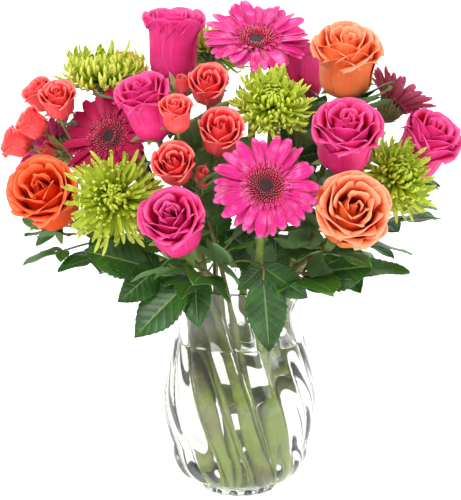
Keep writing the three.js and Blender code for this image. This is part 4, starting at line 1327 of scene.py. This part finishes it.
def add_stem(batch, extras, bloom, kind, hairs):
    """One stem: smooth and thorny for roses, ribbed for chrysanthemums, downy for gerberas."""
    rng = seeded(bloom.name + " stem")
    path, radius = stem_path(bloom)
    path = smooth_path(path, 0.0025)
    run = path_length(path)
    size = np.full(len(path), radius)
    if kind == "rose":
        knots = np.arange(0.05, run[-1], KNOT_SPACING)
        knots = knots + 0.01 * rng.uniform(-1, 1, len(knots))
        size = size * (1 + sum(0.16 * np.exp(-(((run - at) / 0.003) ** 2)) for at in knots))
        add_thorns(extras, path, radius, rng)
    size = size * (1 + 0.03 * np.sin(run * 170 + rng.uniform(0, 6)))
    size[-1] *= 0.85
    add_tubes(batch, path[None], size[None], 18, rng.uniform(0, 1), ribs=STEM_RIBS[kind])
    if kind == "gerbera":
        at = rng.integers(1, int(0.55 * len(path)), hairs)
        turn = unit(rng.normal(0, 1, (hairs, 3)))
        lengths = rng.uniform(0.0008, 0.0018, hairs)
        add_hairs(extras, path[at] + radius * turn, turn, lengths, rng, STEM_HAIR)


def add_thorns(batch, path, radius, rng):
    """Curved thorns that point down the stem."""
    count = max(3, len(path) // 22)
    at = np.linspace(6, len(path) - 8, count).astype(int)
    down = unit(path[at + 3] - path[at - 3])
    turn = rng.normal(0, 1, (count, 3))
    out = unit(turn - (turn * down).sum(1, keepdims=True) * down)
    s = np.linspace(0, 1, 6)[None, :, None]
    size = rng.uniform(0.7, 1.1, count)[:, None, None]
    spine = path[at][:, None] + out[:, None] * (0.8 * radius + 0.0036 * s * size)
    spine = spine + down[:, None] * 0.0022 * s**2 * size
    radii = np.array(THORN_RADII)[None] * size[..., 0]
    add_tubes(batch, spine, radii, 7, 0.8, flat=0.6)


def smoothed_copy(name, node, voxel):
    """A node's mesh melted into one smooth skin."""
    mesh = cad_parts[node].data.copy()
    source = bpy.data.objects.new(name + "_source", mesh)
    bpy.context.scene.collection.objects.link(source)
    remesh = source.modifiers.new("skin", "REMESH")
    remesh.mode = "VOXEL"
    remesh.voxel_size = voxel
    remesh.use_smooth_shade = True
    soften = source.modifiers.new("soften", "SMOOTH")
    soften.factor = 0.5
    soften.iterations = 6
    graph = bpy.context.evaluated_depsgraph_get()
    made = bpy.data.meshes.new_from_object(source.evaluated_get(graph), depsgraph=graph)
    bpy.data.objects.remove(source)
    made.name = name
    points = read(made.vertices, "co", 3)
    place = made.attributes.new(PLACE, "FLOAT_COLOR", "POINT")
    angle = np.arctan2(points[:, 1], points[:, 0]) / (2 * math.pi)
    values = spread_values(points[:, 2] * 3, angle % 1.0, 0.0, 0.5, (len(points),))
    place.data.foreach_set("color", values.astype(np.float32).ravel())
    return made


def shrink_under(mesh, buds):
    """Draws the green skin in under the petals of each bud."""
    points = read(mesh.vertices, "co", 3)
    for bud in buds:
        rise = (points - bud.foot) @ bud.axis
        aside = points - bud.foot - rise[:, None] * bud.axis
        level = (rise > 0.1 * bud.height) & (rise < 1.2 * bud.height)
        inside = level & (np.linalg.norm(aside, axis=1) < 1.3 * bud.radius)
        drawn_in = bud.foot + 0.75 * rise[:, None] * bud.axis + 0.6 * aside
        points[inside] = drawn_in[inside]
    mesh.vertices.foreach_set("co", points.astype(np.float32).ravel())


class Bud(Bloom):
    """A tight bud on a spray, measured from a cluster of points in place of a node."""

    def __init__(self, name, cluster, top):
        self.name = name
        self.axis = unit(top - cluster.mean(0))
        rise = (cluster - top) @ self.axis
        out = np.linalg.norm(cluster - top - rise[:, None] * self.axis, axis=1)
        self.radius = out.max()
        self.height = np.ptp(rise) / BUD_RISE
        self.foot = top - self.height * self.axis
        self.depth = NODE_RISE * self.height
        self.frame = basis(self.axis)
        self.rng = seeded(name)


def buds_of(node):
    """The buds of a spray: clusters of points where the green skin is more than a stem thick."""
    solid = SOLIDS[node]
    tree = search_tree(solid)
    corners = solid.points[solid.triangles]
    facing = np.cross(corners[:, 1] - corners[:, 0], corners[:, 2] - corners[:, 0])
    normals = np.zeros_like(solid.points)
    for i in range(3):
        np.add.at(normals, solid.triangles[:, i], facing)
    thick = []
    for i, (point, normal) in enumerate(zip(solid.points, unit(normals))):
        hit, _normal, _face, depth = tree.ray_cast(Vector(point - 1e-5 * normal), Vector(-normal))
        if hit is not None and depth > BUD_THICKNESS:
            thick.append(i)
    groups = []
    for i in thick:
        reach = [np.linalg.norm(solid.points[group] - solid.points[i], axis=1).min() for group in groups]
        near = [group for group, gap in zip(groups, reach) if gap < BUD_GAP]
        groups = [group for group in groups if group not in near] + [sum(near, [i])]
    buds = []
    for group in groups:
        cluster = solid.points[group]
        spans = np.linalg.norm(cluster[:, None] - cluster[None], axis=-1)
        ring = cluster[(spans < RING_GAP).sum(1) >= RING_POINTS]
        ring = ring[ring[:, 2] > cluster[:, 2].max() - RING_DEPTH]
        if len(cluster) >= BUD_POINTS and len(ring) >= RING_POINTS:
            buds.append(Bud(f"{node}_bud_{len(buds)}", cluster, ring.mean(0)))
    return buds


# ---------------------------------------------------------------- the stage

SWEEP_FRONT = -4.0
SWEEP_BACK = 3.0  # where the floor begins to bend up into the wall
SWEEP_BEND = 0.7
SWEEP_TOP = 3.2
SWEEP_HALF_WIDTH = 5.0
KEY_PLACE = (-0.9, -1.5, 1.5)
FILL_PLACE = (1.5, -1.0, 0.8)
BACKDROP_PLACE = (0.0, 1.6, 3.4)
BACKDROP_AIM = (0.0, 3.2, 0.2)
CAMERA_AIM = (-0.0084, 0.0, 0.2245)
CAMERA_DISTANCE = 1.5
CAMERA_LIFT = math.radians(10)


def sweep_mesh():
    """A floor that bends up into a wall behind the bouquet."""
    turns = np.linspace(0, math.pi / 2, 24)
    bend = [(SWEEP_BACK + SWEEP_BEND * math.sin(a), SWEEP_BEND * (1 - math.cos(a))) for a in turns]
    outline = [(SWEEP_FRONT, 0.0), *bend, (SWEEP_BACK + SWEEP_BEND, SWEEP_TOP)]
    points = [(x, y, z) for y, z in outline for x in (-SWEEP_HALF_WIDTH, SWEEP_HALF_WIDTH)]
    faces = [(2 * i, 2 * i + 1, 2 * i + 3, 2 * i + 2) for i in range(len(outline) - 1)]
    mesh = bpy.data.meshes.new("paper_sweep")
    mesh.from_pydata(points, [], faces)
    mesh.polygons.foreach_set("use_smooth", np.ones(len(faces), bool))
    return mesh


def add_light(name, place, aim, size, power, colour=(1.0, 1.0, 1.0)):
    """A square soft light that faces a point."""
    data = bpy.data.lights.new(name, "AREA")
    data.shape = "SQUARE"
    data.size = size
    data.energy = power
    data.color = colour
    light = bpy.data.objects.new(name, data)
    light.location = place
    light.rotation_euler = (Vector(aim) - Vector(place)).to_track_quat("-Z", "Y").to_euler()
    bpy.context.scene.collection.objects.link(light)


# ---------------------------------------------------------------- settings


def length_size(name, description, default):
    """A setting for a length in metres."""
    return FloatProperty(name=name, description=description, default=default, min=0, unit="LENGTH")


def colour_setting(name, description, colour):
    """A setting for a linear colour."""
    return FloatVectorProperty(
        name=name, description=description, default=colour, size=4, subtype="COLOR", min=0, max=1
    )


def hue(name, description, code):
    """A setting for a colour given by its web code."""
    return colour_setting(name, description, paint(code))


def add_hues(group, parts, hues_by_key):
    """Adds a colour setting to a group for every part of every key."""
    for key, (label, *codes) in hues_by_key.items():
        for (part, where), code in zip(parts.items(), codes):
            described = f"Colour of the {label.lower()}: {where}"
            group.__annotations__[f"{key}_{part}"] = hue(f"{label}, {where}", described, code)


class BouquetVaseSettings(bpy.types.PropertyGroup):
    """Sizes of the glass."""

    flutes: IntProperty(name="Flutes", description="Number of swirled flutes", default=16, min=3)
    steps: IntProperty(name="Steps", description="Mesh steps across one flute", default=12, min=4)
    rows: IntProperty(name="Rows", description="Mesh rows up the wall", default=110, min=10)
    sharpness: FloatProperty(
        name="Crease", description="Lower is sharper between the lobes", default=1.0, min=0.1
    )
    flute_depth: length_size("Flute depth", "Depth of the creases between the lobes", 0.0022)
    foot_rounding: length_size("Foot rounding", "How far the foot's edge is rounded in", 0.003)
    base_swell: length_size("Base swell", "How far the base bulges out above the foot", 0.005)
    base_height: length_size("Base height", "Height over which the base bulges", 0.046)
    wall: length_size("Wall", "Thickness of the wall", 0.0036)
    floor: length_size("Floor", "Thickness of the floor", 0.0075)


class BouquetRoseSettings(bpy.types.PropertyGroup):
    """Petals of the large roses."""

    petals: IntProperty(name="Petals", description="Petals of one rose", default=32, min=8)
    thickness: length_size("Thickness", "Thickness of a petal", 0.0006)
    roll: FloatProperty(
        name="Roll", description="Turn of the outer lips", default=math.radians(140), subtype="ANGLE"
    )


class BouquetGerberaSettings(bpy.types.PropertyGroup):
    """Petals and eye of the gerberas."""

    petals: IntProperty(name="Petals", description="Petals in one whorl", default=18, min=8)
    petal_width: FloatProperty(
        name="Petal width", description="Width against the bloom's radius", default=0.225, min=0.01
    )
    disc: FloatProperty(
        name="Eye", description="Radius of the eye against the bloom's radius", default=0.38, min=0.05
    )
    florets: IntProperty(name="Florets", description="Small florets in the eye", default=330, min=20)


class BouquetGreenSettings(bpy.types.PropertyGroup):
    """Numbers of small leaves and of hairs."""

    small_leaves: IntProperty(name="Small leaves", description="Wanted on each rose stem", default=7, min=0)
    stem_hairs: IntProperty(name="Stem hairs", description="Hairs on a gerbera stem", default=1500, min=1)
    cup_hairs: IntProperty(name="Cup hairs", description="Hairs on a gerbera cup", default=420, min=1)


class BouquetMumSettings(bpy.types.PropertyGroup):
    """Florets of the chrysanthemums."""

    florets: IntProperty(name="Florets", description="Florets of one bloom", default=330, min=20)
    floret_width: length_size("Floret width", "Width of a floret", 0.0027)


PETAL_PARTS = {"deep": "base", "body": "middle", "lip": "edge", "back": "outer side"}
PETAL_HUES = {
    "bud": ("Bud", "#b01830", "#ee4a50", "#f8988a", "#e8505a"),
    "pink_gerbera": ("Pink gerbera", "#a40048", "#f0188c", "#ff90d0", "#d8287c"),
    "magenta_gerbera": ("Magenta gerbera", "#6c0028", "#b80048", "#d4146c", "#f08cac"),
    "pink_rose": ("Pink rose", "#b00028", "#e40456", "#f870bc", "#f03c9c"),
    "orange_rose": ("Orange rose", "#ec2c04", "#fc501c", "#ff905c", "#fc5824"),
    "peach_rose": ("Peach rose", "#f03a08", "#ff8040", "#ffc4a0", "#ff7c44"),
    "coral_rose": ("Coral rose", "#e01030", "#fc3c44", "#ffa498", "#fc5c5c"),
}
GREEN_PARTS = {"body": "main colour", "shade": "patches", "light": "flecks"}
GREEN_HUES = {
    "stem": ("Stem", "#84942c", "#66583a", "#b4c25c"),
    "gerbera_stem": ("Gerbera stem", "#94a83c", "#7a9030", "#ccd488"),
    "stem_down": ("Down on a gerbera stem", "#c9cfa6", "#b3ba88", "#e6e9cf"),
    "thorn": ("Thorn", "#9a6a4a", "#7d8a44", "#c59a6f"),
    "sepal": ("Bud sepal", "#9aa860", "#a8584a", "#d8dcae"),
    "gerbera_cup": ("Gerbera cup", "#8a8850", "#6c6c3a", "#a4a56c"),
    "cup_down": ("Down on a gerbera cup", "#b9b88a", "#9c9c66", "#dcdcb8"),
    "calyx": ("Rose calyx", "#6f9140", "#557a2e", "#a3bb70"),
    "mum_cup": ("Chrysanthemum cup", "#6d8f3a", "#4f7028", "#9fb765"),
    "leaf_stalk": ("Leaf stalk", "#6f8f3c", "#8a5a40", "#a8bf78"),
}


class BouquetColourSettings(bpy.types.PropertyGroup):
    """Colours of the petals, florets, stems, leaves, glass and water."""

    leaf_dark: hue("Leaf, dark patches", "Darkest green of a leaf's upper side", "#18400c")
    leaf_blade: hue("Leaf", "Main green of a leaf's upper side", "#2c6210")
    leaf_young: hue("Leaf, young", "Fresh green of the younger leaves", "#4c8410")
    leaf_vein: hue("Leaf, veins", "Colour of a leaf's veins", "#86a85c")
    leaf_underside: hue("Leaf, underside", "Colour of a leaf's underside", "#6f9058")
    eye_black: hue("Eye, centre", "Centre of a gerbera's eye", "#14040a")
    eye_brown: hue("Eye, middle", "Round the centre of a gerbera's eye", "#42181e")
    eye_crimson: hue("Eye, ring", "Ring of florets round a gerbera's eye", "#e4104c")
    eye_pink: hue("Eye, rim", "Outermost florets of a gerbera's eye", "#e83c80")
    eye_tip: hue("Eye, tips", "Pale tips of the ring's florets", "#f090a8")
    eye_shade: hue("Eye, grain", "Dark grain of a gerbera's eye", "#700c28")
    mum_low: hue("Chrysanthemum, base", "Floret colour at the base", "#4c6a06")
    mum_lime: hue("Chrysanthemum, middle", "Floret colour half way", "#acc010")
    mum_tip: hue("Chrysanthemum, tip", "Floret colour at the tip", "#dce264")
    mum_middle: hue("Chrysanthemum, centre", "Colour of the innermost florets", "#4c7410")
    mum_streak: hue("Chrysanthemum, streaks", "Streaks along a floret", "#8ca410")
    mum_back: hue("Chrysanthemum, outer side", "Outer side of a floret", "#b6c83a")
    glass: colour_setting("Glass", "Tint of the glass", (0.9, 0.9, 0.87, 1.0))
    water: colour_setting("Water", "Tint of the water", (0.99, 1.0, 0.99, 1.0))


add_hues(BouquetColourSettings, PETAL_PARTS, PETAL_HUES)
add_hues(BouquetColourSettings, GREEN_PARTS, GREEN_HUES)


class BouquetStageSettings(bpy.types.PropertyGroup):
    """Lights, floor and camera."""

    paper: hue("Paper", "Colour of the floor and backdrop", "#fbfbfb")
    air: colour_setting("Air", "Colour of the light from all round", (0.92, 0.95, 1.0, 1.0))
    air_strength: FloatProperty(
        name="Air strength", description="Strength of the light from all round", default=0.55, min=0
    )
    glow: FloatProperty(name="Glow", description="Light of the paper itself", default=0.2, min=0)
    key: FloatProperty(
        name="Key light", description="Power of the main soft light", default=31.0, unit="POWER"
    )
    fill: FloatProperty(name="Fill light", description="Power of the side light", default=11.0, unit="POWER")
    backdrop: FloatProperty(
        name="Backdrop light", description="Power of the light on the wall", default=110.0, unit="POWER"
    )
    lens: FloatProperty(name="Lens", description="Focal length", default=117.4, unit="CAMERA")


# ---------------------------------------------------------------- operators


class BouquetVase(bpy.types.Operator):
    """Builds the fluted glass vase."""

    bl_idname = "bouquet.vase"
    bl_label = "Vase"

    def execute(self, context):
        shape = VaseShape(context.scene.bouquet_vase)
        batch = Batch()
        share = np.linspace(0, 1, len(shape.rings))[None, :, None]
        add_rings(batch, shape.rings[None], share, 0.5)
        glass = tuple(context.scene.bouquet_colours.glass)
        finish = clear_finish("clear glass", glass, 1.5, (26.0, 0.12), (0.9, 0.93, 0.91, 1.0))
        add_piece("vase_glass", batch, finish, "vase")
        return {"FINISHED"}


class BouquetWater(bpy.types.Operator):
    """Fills the vase with water up to the level of its node."""

    bl_idname = "bouquet.water"
    bl_label = "Water"

    def execute(self, context):
        sizes = context.scene.bouquet_vase
        batch = Batch()
        add_rings(batch, water_rings(sizes)[None], 0.5, 0.5)
        tint = tuple(context.scene.bouquet_colours.water)
        finish = clear_finish("water", tint, 1.333, (60.0, 0.03), (0.95, 0.97, 0.95, 1.0))
        add_piece("water_fill", batch, finish, "water")
        return {"FINISHED"}


class BouquetStems(bpy.types.Operator):
    """Builds every stem, with thorns, down, ribs and buds."""

    bl_idname = "bouquet.stems"
    bl_label = "Stems"

    def execute(self, context):
        plain = green_finish("stem green", green_hues("stem"))
        downy = green_finish("gerbera stem", green_hues("gerbera_stem"), rough=0.6)
        down = green_finish("fine down", green_hues("stem_down"), rough=0.7)
        thorn = green_finish("thorn", green_hues("thorn"))
        petal = petal_finish("bud petal", petal_hues("bud"))
        cover = green_finish("bud sepal", green_hues("sepal"))
        for name in BLOOM_NAMES:
            kind = name.split("_")[0]
            if kind == "spray":
                continue
            stem, extras = Batch(), Batch()
            add_stem(stem, extras, Bloom(name), kind, context.scene.bouquet_greens.stem_hairs)
            downs = kind == "gerbera"
            add_piece(name + "_stalk", stem, downy if downs else plain, name + "_stem")
            if extras.count:
                extra = "_down" if downs else "_thorns"
                add_piece(name + extra, extras, down if downs else thorn, None)
        for node in STEM_NAMES:
            if not node.startswith("spray"):
                continue
            short = node[: -len("_stem")]
            buds = buds_of(node)
            skin = smoothed_copy(short + "_branches", node, SKIN_STEP)
            shrink_under(skin, buds)
            add_piece(short + "_branches", skin, plain, node)
            petals, sepals = Batch(), Batch()
            for bud in buds:
                add_rose(petals, bud, BUD_STYLE)
                add_calyx(sepals, bud, 0.98 * bud.height, 0.55 * bud.radius, reflex=-0.55)
            if petals.count:
                add_piece(short + "_bud_petals", petals, petal, None)
                add_piece(short + "_bud_sepals", sepals, cover, None)
        return {"FINISHED"}


class BouquetGerberas(bpy.types.Operator):
    """Builds the gerberas: petals, eye and hairy cup."""

    bl_idname = "bouquet.gerberas"
    bl_label = "Gerberas"

    def execute(self, context):
        sizes = context.scene.bouquet_gerberas
        pink_hues = petal_hues("pink_gerbera")
        # gerbera petals get painted shade in their grooves and along their edges; the pink ones also get
        # stronger painted highlights
        pink = petal_finish("pink gerbera petal", pink_hues, base_reach=0.45, painted_highlight=0.7, painted_groove_shade=0.8)
        dark = petal_finish("magenta gerbera petal", petal_hues("magenta_gerbera"), painted_groove_shade=0.6)
        cup = green_finish("gerbera cup", green_hues("gerbera_cup"), rough=0.7)
        down = green_finish("cup down", green_hues("cup_down"), rough=0.7)
        eye = eye_finish()
        for name in [n for n in BLOOM_NAMES if n.startswith("gerbera")]:
            bloom = Bloom(name)
            height = bloom.depth - EYE_DROP
            magenta = name in MAGENTA_GERBERAS
            petals, disc, under, hairs = Batch(), Batch(), Batch(), Batch()
            add_gerbera_petals(petals, bloom, height, sizes)
            add_gerbera_disc(disc, bloom, height, sizes)
            add_gerbera_cup(under, hairs, bloom, height, context.scene.bouquet_greens.cup_hairs)
            add_piece(name + "_petals", petals, dark if magenta else pink, bloom.node)
            add_piece(name + "_eye", disc, eye, None)
            add_piece(name + "_cup", under, cup, None)
            add_piece(name + "_cup_down", hairs, down, None)
        return {"FINISHED"}


class BouquetRoses(bpy.types.Operator):
    """Builds the large roses and the spray roses."""

    bl_idname = "bouquet.roses"
    bl_label = "Roses"

    def execute(self, context):
        sizes = context.scene.bouquet_roses
        large = {"petals": sizes.petals, "thickness": sizes.thickness, "roll": math.degrees(sizes.roll)}
        finishes = {
            "rose_pink": petal_finish("pink rose petal", petal_hues("pink_rose")),
            "rose_orange": petal_finish("orange rose petal", petal_hues("orange_rose")),
            "peach": petal_finish("peach rose petal", petal_hues("peach_rose")),
            "rose_coral": petal_finish("coral rose petal", petal_hues("coral_rose")),
        }
        green = green_finish("rose calyx", green_hues("calyx"))
        for name in BLOOM_NAMES:
            kind = name.split("_")[0]
            if kind == "rose":
                slot = "_".join(name.split("_")[:2])
                style = {**ROSE_STYLE, **large, **ROSE_OPEN.get(name, {})}
                hip, reflex = ROSE_HIP, 1.1
            elif kind == "spray":
                slot, style = "rose_coral", SPRAY_STYLE
                hip, reflex = SPRAY_HIP, 0.5
            else:
                continue
            bloom = Bloom(name)
            petals, calyx = Batch(), Batch()
            add_rose(petals, bloom, style)
            add_calyx(calyx, bloom, 0.42 * bloom.depth, hip, reflex)
            finish = finishes["peach" if name in PEACH_ROSES else slot]
            add_piece(name + "_petals", petals, finish, bloom.node)
            add_piece(name + "_calyx", calyx, green, None)
        return {"FINISHED"}


class BouquetMums(bpy.types.Operator):
    """Builds the green spider chrysanthemums."""

    bl_idname = "bouquet.mums"
    bl_label = "Chrysanthemums"

    def execute(self, context):
        finish = mum_finish()
        green = green_finish("chrysanthemum cup", green_hues("mum_cup"))
        for name in [n for n in BLOOM_NAMES if n.startswith("mum")]:
            bloom = Bloom(name)
            florets, cup = Batch(), Batch()
            shape = {**MUM_OPEN, **MUM_SHAPES.get(name, {})}
            add_mum(florets, bloom, context.scene.bouquet_mums, shape)
            add_mum_cup(cup, bloom, shape)
            add_piece(name + "_florets", florets, finish, bloom.node)
            add_piece(name + "_cup", cup, green, None)
        return {"FINISHED"}


class BouquetLeaves(bpy.types.Operator):
    """Builds the compound rose leaves, and small ones where the roses' stems have room."""

    bl_idname = "bouquet.leaves"
    bl_label = "Leaves"

    def execute(self, context):
        finish = leaf_finish()
        green = green_finish("leaf stalk", green_hues("leaf_stalk"))
        for node in sorted(n for n in SOLIDS if n.startswith("leaf")):
            blades, stalks = Batch(), Batch()
            add_leaf(blades, stalks, node)
            add_piece(node + "_blades", blades, finish, node)
            add_piece(node + "_stalk", stalks, green, None)
        room = Room()
        wanted = context.scene.bouquet_greens.small_leaves
        for name in [n for n in BLOOM_NAMES if n.startswith("rose")]:
            blades, stalks = Batch(), Batch()
            add_filler_leaves(blades, stalks, Bloom(name), room, wanted, seeded(name + " leaves"))
            if blades.count:
                add_piece(name + "_leaflets", blades, finish, None)
                add_piece(name + "_leaf_stalks", stalks, green, None)
        return {"FINISHED"}


class BouquetStage(bpy.types.Operator):
    """Sets out the paper sweep, the soft lights and the camera."""

    bl_idname = "bouquet.stage"
    bl_label = "Stage"

    def execute(self, context):
        sizes = context.scene.bouquet_stage
        middle = 0.5 * (Vector(cad_box[0]) + Vector(cad_box[1]))
        sweep = bpy.data.objects.new("paper_sweep", sweep_mesh())
        sweep.data.materials.append(paper_finish(tuple(sizes.paper), sizes.glow))
        context.scene.collection.objects.link(sweep)

        world = bpy.data.worlds.new("studio air")
        world.use_nodes = True
        background = world.node_tree.nodes["Background"]
        background.inputs["Color"].default_value = tuple(sizes.air)
        background.inputs["Strength"].default_value = sizes.air_strength
        context.scene.world = world
        context.scene.view_settings.view_transform = "Standard"
        add_light("key", KEY_PLACE, middle, 0.9, sizes.key, (1.0, 0.98, 0.95))
        add_light("fill", FILL_PLACE, middle, 1.0, sizes.fill)
        add_light("backdrop", BACKDROP_PLACE, BACKDROP_AIM, 2.4, sizes.backdrop)

        camera = bpy.data.objects.new("camera", bpy.data.cameras.new("camera"))
        aim = Vector(CAMERA_AIM)
        back = Vector((0.0, -math.cos(CAMERA_LIFT), math.sin(CAMERA_LIFT)))
        camera.location = aim + CAMERA_DISTANCE * back
        camera.rotation_euler = (aim - camera.location).to_track_quat("-Z", "Y").to_euler()
        camera.data.lens = sizes.lens
        camera.data.clip_start = 0.05
        context.scene.collection.objects.link(camera)
        context.scene.camera = camera
        return {"FINISHED"}


OPERATORS = (
    BouquetVase,
    BouquetWater,
    BouquetStems,
    BouquetGerberas,
    BouquetRoses,
    BouquetMums,
    BouquetLeaves,
    BouquetStage,
)
SETTINGS = {
    "bouquet_colours": BouquetColourSettings,
    "bouquet_vase": BouquetVaseSettings,
    "bouquet_roses": BouquetRoseSettings,
    "bouquet_gerberas": BouquetGerberaSettings,
    "bouquet_mums": BouquetMumSettings,
    "bouquet_greens": BouquetGreenSettings,
    "bouquet_stage": BouquetStageSettings,
}


class BouquetPanel(bpy.types.Panel):
    """Lists the pieces of the bouquet and their settings."""

    bl_idname = "VIEW3D_PT_bouquet"
    bl_label = "Bouquet"
    bl_space_type = "VIEW_3D"
    bl_region_type = "UI"
    bl_category = "Bouquet"

    def draw(self, context):
        for operator in OPERATORS:
            self.layout.operator(operator.bl_idname)
        for name, group in SETTINGS.items():
            box = self.layout.box()
            for field in group.__annotations__:
                box.prop(getattr(context.scene, name), field)


def register():
    """Adds the settings, operators and panel to Blender."""
    for cls in (*SETTINGS.values(), *OPERATORS, BouquetPanel):
        bpy.utils.register_class(cls)
    for name, group in SETTINGS.items():
        setattr(bpy.types.Scene, name, PointerProperty(type=group))


def unregister():
    """Takes them out again."""
    for name in SETTINGS:
        delattr(bpy.types.Scene, name)
    for cls in (BouquetPanel, *reversed(OPERATORS), *SETTINGS.values()):
        bpy.utils.unregister_class(cls)


def main():
    """Builds every piece and the stage."""
    register()
    bpy.ops.bouquet.vase()
    bpy.ops.bouquet.water()
    bpy.ops.bouquet.stems()
    bpy.ops.bouquet.gerberas()
    bpy.ops.bouquet.roses()
    bpy.ops.bouquet.mums()
    bpy.ops.bouquet.leaves()
    bpy.ops.bouquet.stage()


if __name__ == "__main__":
    main()
